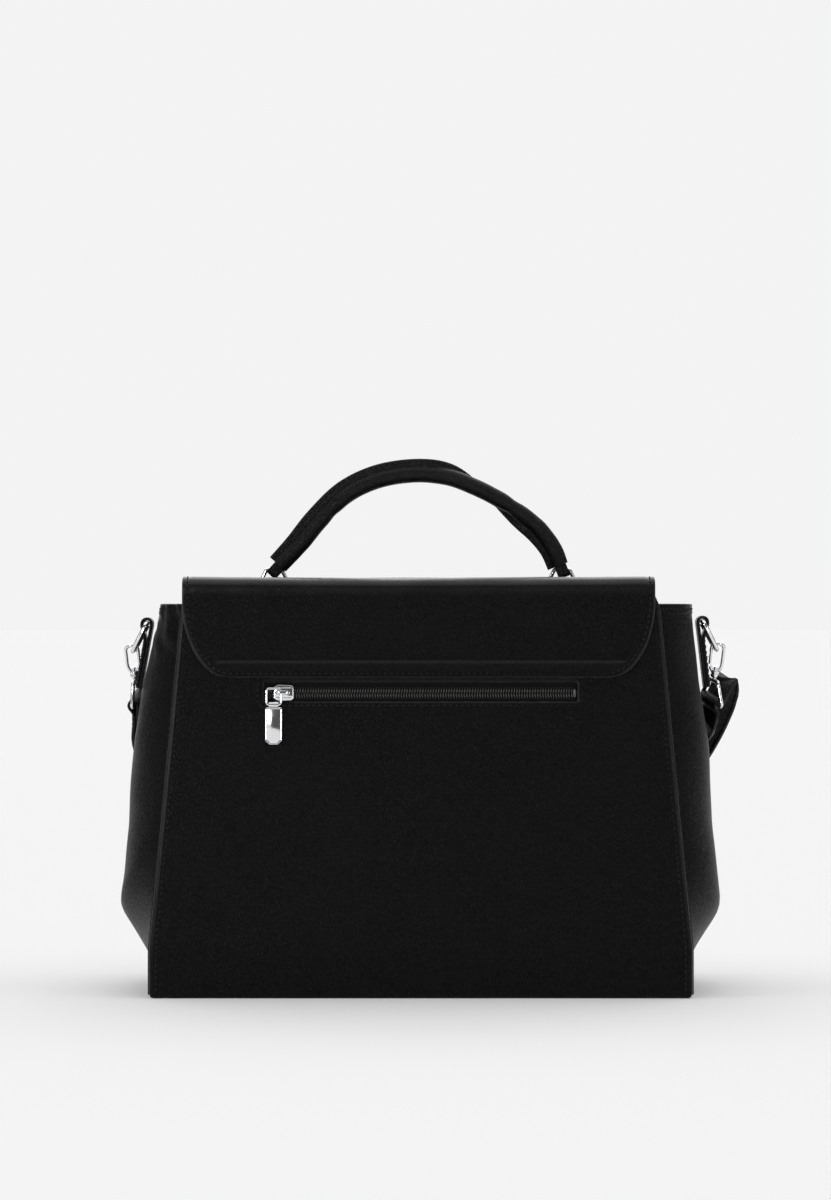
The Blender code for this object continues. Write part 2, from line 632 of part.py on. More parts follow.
def build_handle(leather, core_stuff, metal):
    """Anchors on the flap, their rings, and the rolled handle."""
    for name, x in (("left", RING_LEFT_X), ("right", RING_RIGHT_X)):
        strap = bmesh.new()
        low = [(-16.0, 0.0), (-1.6, 0.0)]
        arch = [(-1.6 * math.cos(a), 1.6 * math.sin(a)) for a in np.linspace(0.0, math.pi, 9)]
        crown = [(2.7 * math.cos(a), 2.7 * math.sin(a)) for a in np.linspace(0.1, math.pi - 0.1, 11)]
        section = []
        for y, _ in low:
            section.append((y, top_height(y) + GAP))
        section += [(y, RING_FOOT + z) for y, z in arch]
        section += [(1.6, top_height(1.6) + GAP), (16.0, top_height(16.0) + GAP)]
        section += [(16.0, top_height(16.0) + GAP + 1.6), (3.4, top_height(3.4) + GAP + 1.6)]
        section += [(y, RING_FOOT + z) for y, z in crown]
        section += [(-3.4, top_height(3.4) + GAP + 1.6), (-16.0, top_height(16.0) + GAP + 1.6)]
        prism(strap, section, x - 4.6, x + 4.6, lambda a, b, c: (c, a, b))
        add_body("handle_anchor_" + name, strap, leather)

        ring = bmesh.new()
        corners = ((-8.0, RING_FOOT), (-4.4, RING_HEAD), (4.4, RING_HEAD), (8.0, RING_FOOT))
        loop = [(x + p.x, 0.0, p.y) for p in rounded_loop(corners, 1.5, 4)]
        wire(ring, loop, (0.0, 1.0, 0.0), RING_WIRE)
        add_body("handle_ring_" + name, ring, metal)

    path = smooth_path([(x, 0.0, z) for x, z in HANDLE_PATH], 7.5)
    count = len(path)
    outer = []
    bores = []
    hints = []
    cores = []
    for i in range(count):
        along = i / (count - 1)
        after = path[min(i + 1, count - 1)]
        before = path[max(i - 1, 0)]
        tangent = Vector(after - before).normalized()
        outward = Vector((-tangent.z, 0.0, tangent.x))
        turn = math.pi * float(np.interp(along, (0.56, 0.84), (0.0, 1.0)))
        hints.append(outward * math.cos(turn) + Vector((0.0, 1.0, 0.0)) * math.sin(turn))
        offset = -float(np.interp(along, (0.0, 0.12, 0.88, 1.0), (1.0, 2.0, 2.0, 1.0)))
        seam = offset + HANDLE_ROLL + float(np.interp(along, (0.0, 0.12, 0.88, 1.0), (2.6, 4.2, 4.2, 2.6)))
        circle = circle_profile(HANDLE_ROLL, 14, (offset, 0.0))
        foot = offset + math.sqrt(HANDLE_ROLL**2 - HANDLE_SEAM_HALF**2)
        half = HANDLE_SEAM_HALF
        outline = [(foot, -half), (seam, -half), (seam, half), (foot, half)]
        outer.append(outline + circle[1:])
        turns = (-0.3, -0.1, 0.1, 0.3)
        mouth = [(offset + HANDLE_BORE * math.cos(a), HANDLE_BORE * math.sin(a)) for a in turns]
        bores.append(mouth + circle_profile(HANDLE_BORE, 14, (offset, 0.0))[1:])
        cores.append(circle_profile(HANDLE_CORE, 8, (offset, 0.0)))
    cover = bmesh.new()
    sweep(cover, path, hints, outer, bore=bores)
    add_body("handle_cover", cover, leather)
    core = bmesh.new()
    sweep(core, path[2:-2], hints[2:-2], cores[2:-2])
    add_body("handle_core", core, core_stuff)

    for name, end, inside in (("left", 0, 1), ("right", -1, -2)):
        tangent = Vector(path[inside] - path[end]).normalized()
        side = Vector((0.0, 1.0, 0.0))
        width = tangent.cross(side)
        mouth = Vector(path[end]) - hints[end]
        inner = 1.5
        outside = 2.7
        drop = (RING_HEAD - mouth.z) / tangent.z - 2.9
        rise = 8.0
        outline = [(-outside, rise), (-outside, drop)]
        turns = np.linspace(0.3, math.pi - 0.3, 5)
        outline += [(-outside * math.cos(a), drop - 1.0 * math.sin(a)) for a in turns]
        outline += [(outside, drop), (outside, rise), (inner, rise)]
        outline += [(inner, drop), (-inner, drop), (-inner, rise)]
        loop = bmesh.new()
        prism(loop, outline, -1.6, 1.6, lambda a, b, c: mouth + side * a + tangent * b + width * c)
        add_body("handle_loop_" + name, loop, leather)


SIDE_PLACES = {
    1: {"loop": (165.3, 0.0, 215.2), "tab_lean": 6.5, "hook_tilt": 18.0, "hook_lean": 5.0, "eye_yaw": 28.0},
    -1: {"loop": (-160.4, 0.0, 214.2), "tab_lean": 10.0, "hook_tilt": 26.0, "hook_lean": 4.0, "eye_yaw": 12.0},
}


def hook_frame(side):
    """Axes of a snap hook: the ring's wire at the origin, the hook hanging down -Z, its outer side +X."""
    places = SIDE_PLACES[side]
    swing = SIDE_RING_SWING
    apex = Vector(places["loop"]) + Vector((side * math.sin(swing), 0.0, -math.cos(swing))) * SIDE_RING_DROP
    tilt = math.radians(places["hook_tilt"])
    lean = math.radians(places["hook_lean"])
    mirror = Matrix.Identity(4) if side > 0 else Matrix.Rotation(math.pi, 4, "Z")
    turn = Matrix.Rotation(tilt, 4, "X") @ Matrix.Rotation(side * lean, 4, "Y") @ mirror
    return Matrix.Translation(apex) @ turn


def build_side(side, leather, metal):
    """Tab, ring, snap hook with its gate, and the eye that holds the strap, on one gusset."""
    label = "right" if side > 0 else "left"
    places = SIDE_PLACES[side]
    loop = Vector(places["loop"])
    lean = math.radians(places["tab_lean"])
    spin = Matrix.Identity(4) if side > 0 else Matrix.Rotation(math.pi, 4, "Z")
    tab_frame = Matrix.Translation(loop) @ Matrix.Rotation(-side * lean, 4, "Y") @ spin
    hole = SIDE_RING_WIRE + GAP
    head = hole + SIDE_TAB_LAYER
    outline = [(head * math.cos(a), head * math.sin(a)) for a in np.linspace(-0.35, math.pi, 13)]
    outer = SIDE_TAB_LEG - head
    outline += [(-head, -6.0), (-head, -38.0), (-head + 0.4, -38.8), (outer - 0.4, -38.8), (outer, -38.0)]
    outline += [(outer, -9.0), (head * 0.72, -4.0)]
    tab = bmesh.new()
    prism(tab, outline, -SIDE_TAB_HALF_WIDTH, SIDE_TAB_HALF_WIDTH, lambda a, b, c: (a, c, b))
    made = add_body("side_tab_" + label, tab, leather, tab_frame)
    bore = bmesh.new()
    rod(bore, (0.0, -12.0, 0.0), (0.0, 12.0, 0.0), hole, 16)
    cut(made, add_body("tab_hole_tool_" + label, bore, leather, tab_frame))

    ring_frame = Matrix.Translation(loop) @ Matrix.Rotation(-side * SIDE_RING_SWING, 4, "Y") @ spin
    deep = SIDE_RING_DROP - 6.0
    turns = np.linspace(0, math.pi, 13)
    arc = [(SIDE_RING_HALF * math.cos(a), -6.0 - deep * math.sin(a)) for a in turns]
    path = [(0.0, y, z) for y, z in [(SIDE_RING_HALF, -1.4), (SIDE_RING_HALF, -3.5)] + arc]
    half = SIDE_RING_HALF
    path += [(0.0, -half, -3.5), (0.0, -half, -1.4), (0.0, 0.5 - half, -0.3)]
    path += [(0.0, 1.6 - half, 0.0), (0.0, half - 1.6, 0.0), (0.0, half - 0.5, -0.3)]
    ring = bmesh.new()
    wire(ring, path, (1.0, 0.0, 0.0), SIDE_RING_WIRE)
    add_body("side_ring_" + label, ring, metal, ring_frame)

    frame = hook_frame(side)
    middle = HOOK_MIDDLE
    reach = HOOK_REACH
    hook = bmesh.new()
    arc = [(middle - reach * math.cos(a), 1.0 + reach * math.sin(a) * 0.85) for a in np.linspace(0, math.pi, 11)]
    path = [(middle - reach, -1.6)] + arc + [(middle + reach, -3.0), (middle + reach, -7.0)]
    turns = np.linspace(0.2, math.pi - 0.45, 9)
    path += [(middle + reach * math.cos(a), -7.5 - 6.0 * math.sin(a)) for a in turns]
    path.append((middle - reach, -10.0))
    wire(hook, [(x, 0.0, z) for x, z in path], (0.0, 1.0, 0.0), HOOK_WIRE, closed=False)
    hook_object = add_body("snap_hook_" + label, hook, metal, frame)
    collar = bmesh.new()
    rod(collar, (middle, 0.0, -12.6), (middle, 0.0, -17.0), 2.6, 16)
    cut(hook_object, add_body("collar_tool_" + label, collar, metal, frame), "UNION")
    bore = bmesh.new()
    rod(bore, (middle, 0.0, -11.0), (middle, 0.0, -18.0), 1.4, 12)
    cut(hook_object, add_body("collar_bore_tool_" + label, bore, metal, frame))

    gate = bmesh.new()
    rod(gate, (middle - reach, 0.0, -2.1), (middle - reach, 0.0, -8.8), 0.85, 10)
    add_body("hook_gate_" + label, gate, metal, frame)

    yaw = Matrix.Rotation(side * math.radians(places["eye_yaw"]), 4, "Z")
    turned = frame @ Matrix.Translation((middle, 0.0, 0.0)) @ yaw
    eye = bmesh.new()
    corners = ((-4.5, -19.0), (4.5, -19.0), (11.7, -EYE_BAR), (-11.7, -EYE_BAR))
    loop_path = [(0.0, p.x, p.y) for p in rounded_loop(corners, 1.2, 4)]
    wire(eye, loop_path, (1.0, 0.0, 0.0), EYE_WIRE)
    eye_object = add_body("strap_eye_" + label, eye, metal, turned)
    pin = bmesh.new()
    rod(pin, (0.0, 0.0, -10.4), (0.0, 0.0, -19.2), 1.1, 12)
    pin_object = add_body("eye_pin_tool_" + label, pin, metal, turned)
    cut(eye_object, pin_object, "UNION")
    head_disc = bmesh.new()
    rod(head_disc, (0.0, 0.0, -10.2), (0.0, 0.0, -11.2), 1.5, 12)
    cut(eye_object, add_body("eye_head_tool_" + label, head_disc, metal, turned), "UNION")

    wrap = bmesh.new()
    rod(wrap, (0.0, -STRAP_WIDTH / 2 + 1.2, -EYE_BAR), (0.0, STRAP_WIDTH / 2 - 1.2, -EYE_BAR), STRAP_LOOP, 14)
    wrapped = add_body("strap_end_" + label, wrap, leather, turned)
    bore = bmesh.new()
    rod(bore, (0.0, -STRAP_WIDTH, -EYE_BAR), (0.0, STRAP_WIDTH, -EYE_BAR), EYE_WIRE + GAP, 12)
    cut(wrapped, add_body("strap_end_tool_" + label, bore, leather, turned))
    return turned


def strap_route(right_eye, left_eye):
    """Centreline of the strap with the direction of its width, from the right eye to the left eye."""
    first = right_eye @ Vector((0.0, 0.0, -EYE_BAR))
    last = left_eye @ Vector((0.0, 0.0, -EYE_BAR))
    right_bar = right_eye.to_3x3() @ Vector((0.0, 1.0, 0.0))
    left_bar = left_eye.to_3x3() @ Vector((0.0, -1.0, 0.0))
    curl = (-0.44, 0.85, 0.28)
    return [
        (*(right_eye @ Vector((2.9, 0.0, 2.8 - EYE_BAR))), *right_bar),
        (*(right_eye @ Vector((5.6, 0.0, 8.6 - EYE_BAR))), *right_bar),
        (first.x + 8.6, first.y + 4.0, first.z + 13.6, *curl),
        (first.x + 11.2, first.y + 8.5, first.z + 10.0, *curl),
        (first.x + 10.4, first.y + 13.5, first.z + 2.0, *curl),
        (first.x + 6.6, first.y + 20.5, first.z - 9.0, -0.4, 0.75, 0.5),
        (first.x - 0.5, first.y + 32.0, first.z - 25.0, -0.3, 0.7, 0.65),
        (160.0, 64.0, 122.0, -0.1, 0.8, 0.6),
        (154.0, 78.0, 92.0, 0.0, 1.0, 0.3),
        (152.0, 83.0, 58.0, 0.0, 1.0, 0.1),
        (149.0, 85.0, 30.0, 0.0, 1.0, 0.1),
        (136.0, 88.0, 13.5, 0.0, 0.9, 0.4),
        (112.0, 96.0, 9.8, 0.0, 0.3, 1.0),
        (84.0, 124.0, 9.6, 0.0, 0.0, 1.0),
        (60.0, 154.0, 9.6, 0.0, 0.0, 1.0),
        (30.0, 158.0, 9.6, 0.0, 0.0, 1.0),
        (12.0, 132.0, 9.6, 0.0, 0.0, 1.0),
        (2.0, 100.0, 9.6, 0.0, 0.0, 1.0),
        (-16.0, 84.0, 9.6, 0.0, 0.0, 1.0),
        (-38.0, 96.0, 9.6, 0.0, 0.0, 1.0),
        (-52.0, 126.0, 9.6, 0.0, 0.0, 1.0),
        (-74.0, 150.0, 9.6, 0.0, 0.0, 1.0),
        (-102.0, 142.0, 9.6, 0.0, 0.1, 1.0),
        (-122.0, 114.0, 10.0, 0.0, 0.3, 1.0),
        (-140.0, 92.0, 16.0, 0.0, 0.9, 0.4),
        (-149.0, 84.0, 34.0, 0.0, 1.0, 0.1),
        (-152.0, 81.0, 62.0, 0.0, 1.0, -0.1),
        (-156.0, 74.0, 90.0, 0.0, 0.9, -0.2),
        (-159.0, 57.0, 113.0, 0.3, 0.85, -0.3),
        (-162.0, 39.0, 131.0, 0.4, 0.85, -0.3),
        (last.x + 0.3, last.y + 12.0, last.z - 21.0, 0.3, 0.85, -0.25),
        (*(left_eye @ Vector((1.0, -0.6, -11.5 - EYE_BAR))), *left_bar),
        (*(left_eye @ Vector((0.2, 0.0, -5.3 - EYE_BAR))), *left_bar),
    ]


def add_strap(name, surface, points, width, thickness, step):
    """A flat band along a route."""
    route = smooth_path(points, step, 2.0)
    half_width = width / 2
    half = thickness / 2
    outline = ((-half_width, -half), (half_width, -half), (half_width, half), (-half_width, half))
    bm = bmesh.new()
    sweep(bm, [row[:3] for row in route], [row[3:] for row in route], [outline] * len(route))
    return add_body(name, bm, surface)


def build_strap(right_eye, left_eye, leather, metal):
    """The long strap, its return tail and its slide."""
    route = strap_route(right_eye, left_eye)
    add_strap("shoulder_strap", leather, route, STRAP_WIDTH, STRAP_THICKNESS, 15.0)
    first = right_eye @ Vector((0.0, 0.0, -EYE_BAR))
    bar = right_eye.to_3x3() @ Vector((0.0, 1.0, 0.0))
    tail = [
        (*(right_eye @ Vector((-0.3, 0.0, -4.7 - EYE_BAR))), *bar),
        (*(right_eye @ Vector((-0.9, 0.3, -9.5 - EYE_BAR))), *bar),
        (first.x - 4.4, first.y + 15.0, first.z - 16.0, -0.35, 0.8, 0.3),
        (first.x - 8.0, first.y + 27.0, first.z - 29.0, -0.3, 0.75, 0.5),
        (153.0, 62.0, 121.0, -0.1, 0.85, 0.5),
        (149.0, 74.5, 97.0, 0.0, 1.0, 0.3),
    ]
    add_strap("strap_tail", leather, tail, STRAP_WIDTH, STRAP_THICKNESS, 12.0)
    slide = bmesh.new()
    place = smooth_path(route[8:10], 100.0)
    along = Vector(place[-1][:3]) - Vector(place[0][:3])
    along.normalize()
    across = Vector((0.0, 1.0, 0.3))
    across = (across - across.dot(along) * along).normalized()
    up = along.cross(across)
    centre = Vector(place[0][:3]).lerp(Vector(place[-1][:3]), 0.35)
    corners = ((-11.0, -3.6), (11.0, -3.6), (11.0, 3.6), (-11.0, 3.6))
    loop = [centre + across * p.x + up * p.y for p in rounded_loop(corners, 1.8, 3)]
    wire(slide, loop, along, 1.2)
    add_body("strap_slide", slide, metal)


def main():
    clear_scene()
    leather = material("black_leather", (0.012, 0.012, 0.013), 0.55)
    cloth = material("lining_cloth", (0.03, 0.03, 0.034), 0.9)
    board = material("grey_board", (0.22, 0.2, 0.18), 0.9)
    tape = material("zip_tape", (0.012, 0.012, 0.012), 0.85)
    coil = material("zip_coil", (0.03, 0.03, 0.03), 0.4)
    chrome = material("chrome", (0.8, 0.8, 0.81), 0.1, 1.0)
    magnet = material("nickel", (0.6, 0.59, 0.57), 0.3, 1.0)
    cord = material("handle_cord", (0.4, 0.38, 0.34), 0.9)
    build_body(leather, board)
    build_lining(cloth, leather)
    build_zip(tape, coil, chrome)
    build_flap(leather, chrome, magnet)
    build_handle(leather, cord, chrome)
    right_eye = build_side(1, leather, chrome)
    left_eye = build_side(-1, leather, chrome)
    build_strap(right_eye, left_eye, leather, chrome)


main()
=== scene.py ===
"""A satchel bag in embossed leather, modelled around its frame. Laid out as an add-on, run as a script."""

import math

import bmesh
import bpy
import numpy as np
from bpy.props import FloatProperty, FloatVectorProperty, PointerProperty
from mathutils import Matrix, Vector, noise


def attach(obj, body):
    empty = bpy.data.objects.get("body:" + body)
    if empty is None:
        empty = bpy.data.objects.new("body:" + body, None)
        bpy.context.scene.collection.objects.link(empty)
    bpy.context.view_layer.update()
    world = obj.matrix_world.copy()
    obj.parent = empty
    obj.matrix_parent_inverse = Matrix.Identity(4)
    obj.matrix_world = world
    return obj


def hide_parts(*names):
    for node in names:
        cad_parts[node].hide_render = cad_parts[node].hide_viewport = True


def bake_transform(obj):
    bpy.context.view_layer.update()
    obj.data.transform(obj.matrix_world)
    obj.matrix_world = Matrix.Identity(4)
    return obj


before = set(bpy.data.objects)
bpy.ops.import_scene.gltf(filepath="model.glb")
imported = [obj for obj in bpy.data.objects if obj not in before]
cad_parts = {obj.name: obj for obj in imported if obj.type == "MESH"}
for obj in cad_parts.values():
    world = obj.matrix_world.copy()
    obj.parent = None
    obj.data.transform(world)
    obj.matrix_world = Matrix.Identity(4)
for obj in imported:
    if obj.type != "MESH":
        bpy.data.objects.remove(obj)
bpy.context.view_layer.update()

bl_info = {
    "name": "Satchel Bag",
    "version": (1, 0, 0),
    "blender": (4, 5, 0),
    "location": "3D View > Sidebar > Satchel",
    "description": "Models a satchel bag piece by piece around its frame",
    "category": "Object",
}

MM = 0.001
WIRE_SIDES = 14

# Body, in millimetres
PANEL_TOP = 232.0
PANEL_THICKNESS = 2.4
PANEL_HALF_WIDTH = 155.7
PANEL_HALF_DEPTH = 65.0
PANEL_TAPER = 0.0905
PANEL_LEAN = 0.0758
UPRIGHT_HALF_WIDTH = 94.0
GUSSET_TOP = 226.0
GUSSET_THICKNESS = 1.6
GUSSET_FOLD = 49.0
GUSSET_HEM = 219.6
GUSSET_HEM_ROW = 222.8
SEAM_INSET = 4.0
SLOPE_START = 28.0
REACH_HEIGHTS = (0.0, 22.0, 44.0, 49.0, 63.0, 94.0, 120.0, 145.0, 177.0, 204.0, 226.0)
REACH_RIGHT = (150.0, 159.5, 174.5, 176.0, 174.5, 171.2, 170.0, 168.8, 163.8, 160.7, 158.6)
REACH_LEFT = (150.0, 160.0, 173.8, 175.8, 174.0, 171.2, 169.8, 168.0, 162.7, 156.8, 151.8)

# Zip
ZIP_HEIGHT = 174.6
WINDOW_HALF_LENGTH = 89.8
WINDOW_LOW = -4.9
WINDOW_HIGH = 6.0
SLIDER_X = -78.7
SLIDER_LENGTH = 11.4
BAIL_AXIS_X = -80.2
BAIL_DEPTH = 2.6
COIL_SLANT = math.radians(9.0)

# Flap
FLAP_THICKNESS = 2.2
FLAP_HALF_WIDTH = 136.2
FLAP_SHIFT = -1.2
FLAP_BACK_EDGE = 183.0
FLAP_FRONT_EDGE = 94.0
FLAP_SHOULDER = 228.0
HEM_HEIGHT = 193.0
HEM_ROW = 185.7

# Handle
RING_PLACES = {"left": -86.0, "right": 83.0}
RING_FOOT = 238.6
RING_HEAD = 246.0
ANCHOR_RISE = 1.25
HANDLE_PATH = (
    (-83.6, 248.7),
    (-73.9, 259.4),
    (-60.0, 276.5),
    (-44.0, 291.6),
    (-26.9, 299.9),
    (-9.8, 303.4),
    (5.0, 303.7),
    (18.0, 301.4),
    (32.0, 294.9),
    (45.0, 286.8),
    (58.0, 277.2),
    (69.5, 267.2),
    (77.2, 257.0),
    (81.0, 248.0),
)
HANDLE_ROLL = 4.9
HANDLE_LIP = 4.2

# Shoulder strap and its fittings
SIDES = {
    1: {"loop": (165.3, 0.0, 215.2), "tab_lean": 6.5, "hook_tilt": 18.0, "hook_lean": 5.0, "eye_yaw": 28.0},
    -1: {
        "loop": (-160.4, 0.0, 214.2), "tab_lean": 10.0, "hook_tilt": 26.0, "hook_lean": 4.0, "eye_yaw": 12.0,
    },
}
RING_HALF = 10.5
RING_DROP = 18.5
RING_SWING = math.radians(27.0)
HOOK_REACH = 3.6
HOOK_MIDDLE = 0.7
EYE_BAR = 32.0
STRAP_WIDTH = 18.0
STRAP_THICKNESS = 2.6
STRAP_LEAD = 24.0

# Stage: the camera's place in metres, its lens in millimetres, and the lamps' directions in degrees
CAMERA_PLACE = (-0.003, -2.5, 0.228)
LENS = 127.7
SUNS = (
    ("overhead_panel", 180.0, 84.0, 2.17, 100.0),
    ("back_panel_light", 180.0, 26.0, 1.25, 60.0),
    ("left_panel_light", -70.0, 12.0, 0.3, 30.0),
    ("right_panel_light", 66.0, 12.0, 0.3, 30.0),
)
SHEEN_LAMPS = (
    ("left_sheen", (-0.85, -2.15, 0.5), 11.0),
    ("right_sheen", (1.0, -2.2, 0.4), 4.0),
)


def linear(code):
    """Linear colour of an sRGB hex value."""
    parts = [int(code[i : i + 2], 16) / 255 for i in (0, 2, 4)]
    return tuple(c / 12.92 if c <= 0.04045 else ((c + 0.055) / 1.055) ** 2.4 for c in parts)


def colour_of(name, code, text):
    """A colour that a user can change."""
    return FloatVectorProperty(
        name=name, description=text, default=linear(code), min=0.0, max=1.0, size=3, subtype="COLOR"
    )


def length_of(name, value, text):
    """A length that a user can change, kept in metres."""
    return FloatProperty(
        name=name, description=text, default=value * MM, min=0.01 * MM, unit="LENGTH", precision=5
    )


class SATCHEL_PG_sizes(bpy.types.PropertyGroup):
    """Sizes of what repeats and of the surfaces."""

    stitch_pitch: length_of("Stitch pitch", 3.4, "Distance from one stitch to the next")
    stitch_length: length_of("Stitch length", 2.3, "Length of thread that shows in one stitch")
    thread_radius: length_of("Thread radius", 0.36, "Radius of the sewing thread")
    tooth_pitch: length_of("Tooth pitch", 1.5, "Distance between teeth on one side of the zip")
    tooth_length: length_of("Tooth length", 3.1, "Length of one turn of the zip's coil across the zip")
    tooth_radius: length_of("Tooth radius", 0.42, "Radius of the zip's nylon coil")
    grain_width: length_of("Grain width", 1.25, "Width of one cell of the embossed grain")
    grain_length: length_of("Grain length", 2.9, "Length of one cell of the embossed grain")
    cloth_rib: length_of("Cloth rib", 0.9, "Distance between the ribs of the lining's twill")
    ripple: length_of("Ripple", 0.45, "How far the soft leather swells and sinks")


class SATCHEL_PG_colours(bpy.types.PropertyGroup):
    """Colours of the finishes."""

    leather: colour_of("Leather", "0a0a0b", "Coated face of the leather")
    thread: colour_of("Thread", "1b1b1c", "Sewing thread")
    # The needle hole colour is painted shade: near black stands for the shade inside each hole.
    hole: colour_of("Needle hole", "040404", "Inside of a needle hole")
    lining: colour_of("Lining", "2b2b2f", "Lining cloth")
    tape: colour_of("Tape", "080808", "Zip tape")
    coil: colour_of("Coil", "343230", "Zip coil and its moulded stop")
    chrome: colour_of("Chrome", "e4e5e7", "Plated rings, hooks and puller")
    nickel: colour_of("Nickel", "bdb8b0", "Magnetic snap")
    board: colour_of("Board", "807a70", "Base board")
    cord: colour_of("Cord", "a79f90", "Handle core")
    floor: colour_of("Floor", "f3f3f3", "Floor and backdrop")


def sizes():
    """The sizes that the panel shows."""
    return bpy.context.scene.satchel_sizes


def colours():
    """The colours that the panel shows."""
    return bpy.context.scene.satchel_colours


# Finishes


def feed(node, inputs):
    """Set a node's inputs; a value that is a socket is linked."""
    for key, value in inputs.items():
        if isinstance(value, bpy.types.NodeSocket):
            node.id_data.links.new(value, node.inputs[key])
        else:
            node.inputs[key].default_value = value


def add_node(tree, kind, inputs=None, **settings):
    """Add one node with its settings and its inputs' values and links."""
    made = tree.nodes.new(kind)
    for key, value in settings.items():
        setattr(made, key, value)
    feed(made, inputs or {})
    return made


def new_finish(name, colour, constants):
    """A material with its shader's constant values set, and its tree, shader and place coordinates."""
    made = bpy.data.materials.new(name)
    made.use_nodes = True
    tree = made.node_tree
    shader = tree.nodes["Principled BSDF"]
    feed(shader, {"Base Color": (*colour, 1.0), **constants})
    return made, tree, shader, add_node(tree, "ShaderNodeTexCoord").outputs["Object"]


def shades(colour, amount):
    """The two ends of a colour mix: a darker and a lighter shade of a colour."""
    dark = (*[c * (1 - amount) for c in colour], 1.0)
    light = (*[min(c * (1 + amount), 1.0) for c in colour], 1.0)
    return {6: dark, 7: light}


def leather_finish(name, width, length, gloss):
    """Polyurethane leather: a soft coated cloth embossed by a hot roller with a fine creased grain."""
    # It gives the eye a deep black with a soft satin sheen, broken by short wandering creases. Its colour is
    # painted lighter where the edges are turned over, partly for rubbing and partly as a painted highlight, and
    # along the flap's top fold and hem ridge as a painted highlight.
    base = tuple(colours().leather)
    constants = {"IOR": gloss, "Sheen Weight": 0.14, "Sheen Roughness": 0.22, "Coat Roughness": 0.3}
    made, tree, shader, place = new_finish(name, base, constants)
    wander = add_node(tree, "ShaderNodeTexNoise", {"Vector": place, "Scale": 1 / 0.004, "Detail": 1.0})
    centred = {0: wander.outputs["Color"], 1: (0.5, 0.5, 0.5)}
    push = add_node(tree, "ShaderNodeVectorMath", centred, operation="SUBTRACT")
    push = add_node(tree, "ShaderNodeVectorMath", {0: push.outputs[0], 3: 0.0022}, operation="SCALE")
    bent = add_node(tree, "ShaderNodeVectorMath", {0: place, 1: push.outputs[0]}, operation="ADD").outputs[0]
    grain = add_node(tree, "ShaderNodeMapping", {"Vector": bent, "Scale": (1 / width, 1 / width, 1 / length)})
    on_grain = {"Vector": grain.outputs[0], "Scale": 1.0}
    cells = add_node(tree, "ShaderNodeTexVoronoi", on_grain, feature="DISTANCE_TO_EDGE")
    crease = add_node(tree, "ShaderNodeMapRange", {"Value": cells.outputs["Distance"], "From Max": 0.22})
    pores = add_node(tree, "ShaderNodeTexNoise", {"Vector": bent, "Scale": 1 / 0.0005, "Detail": 2.0})
    cloud = add_node(tree, "ShaderNodeTexNoise", {"Vector": place, "Scale": 1 / 0.035, "Detail": 3.0})
    rub_and_highlight = add_node(tree, "ShaderNodeAttribute", attribute_name="rub_and_highlight").outputs["Fac"]
    # The edge and fold mask lightens the base colour and adds coat: on turned edges partly for rubbing and
    # partly as painted highlight, on the flap's top fold and hem ridge as painted highlight.
    relief, tone_and_highlight, worn = (
        add_node(tree, "ShaderNodeMath", {0: value, 1: factor, 2: added}, operation="MULTIPLY_ADD").outputs[0]
        for value, factor, added in (
            (pores.outputs["Fac"], 0.35, crease.outputs[0]),
            (rub_and_highlight, 1.3, cloud.outputs["Fac"]),
            (rub_and_highlight, -0.5, cloud.outputs["Fac"]),
        )
    )
    height = {"Height": relief, "Distance": 0.00013, "Strength": 0.9}
    shine = {"Value": relief, "From Min": 0.15, "From Max": 1.1, "To Min": 0.2, "To Max": 0.56}
    blur = {"Value": worn, "To Min": 0.3, "To Max": 0.46}
    tint = {0: tone_and_highlight, **shades(base, 0.28)}
    feed(shader, {
        "Base Color": add_node(tree, "ShaderNodeMix", tint, data_type="RGBA").outputs[2],
        "Roughness": add_node(tree, "ShaderNodeMapRange", blur).outputs[0],
        "Specular IOR Level": add_node(tree, "ShaderNodeMapRange", shine).outputs[0],
        "Coat Weight": add_node(tree, "ShaderNodeMapRange", {"Value": rub_and_highlight, "To Max": 0.85}).outputs[0],
        "Normal": add_node(tree, "ShaderNodeBump", height).outputs[0],
    })
    return made


def thread_finish():
    """Bonded polyester thread: twisted plies under a waxed coat."""
    # It gives the eye small raised dashes with a slight shine, a shade lighter than the leather.
    made, tree, shader, place = new_finish("polyester_thread_bonded", tuple(colours().thread), {"IOR": 1.32})
    twist = {"Vector": place, "Scale": 1 / 0.0012, "Distortion": 1.5}
    plies = add_node(tree, "ShaderNodeTexWave", twist, bands_direction="DIAGONAL").outputs["Fac"]
    height = {"Height": plies, "Distance": 0.00008, "Strength": 0.6}
    blur = {"Value": plies, "To Min": 0.42, "To Max": 0.58}
    feed(shader, {
        "Roughness": add_node(tree, "ShaderNodeMapRange", blur).outputs[0],
        "Normal": add_node(tree, "ShaderNodeBump", height).outputs[0],
    })
    return made


def hole_shade_finish():
    """A needle hole punched in leather, painted as shade: the dark inside of a pressed dimple."""
    # It gives the eye the row of dark dots that a seam in black leather shows, as painted shade of the holes.
    matt = {"Roughness": 0.9, "IOR": 1.3}
    made, tree, shader, place = new_finish("needle_hole_painted_shade", tuple(colours().hole), matt)
    fluff = add_node(tree, "ShaderNodeTexNoise", {"Vector": place, "Scale": 1 / 0.0003}).outputs["Fac"]
    feed(
        shader,
        {"Normal": add_node(tree, "ShaderNodeBump", {"Height": fluff, "Distance": 0.00005}).outputs[0]},
    )
    return made


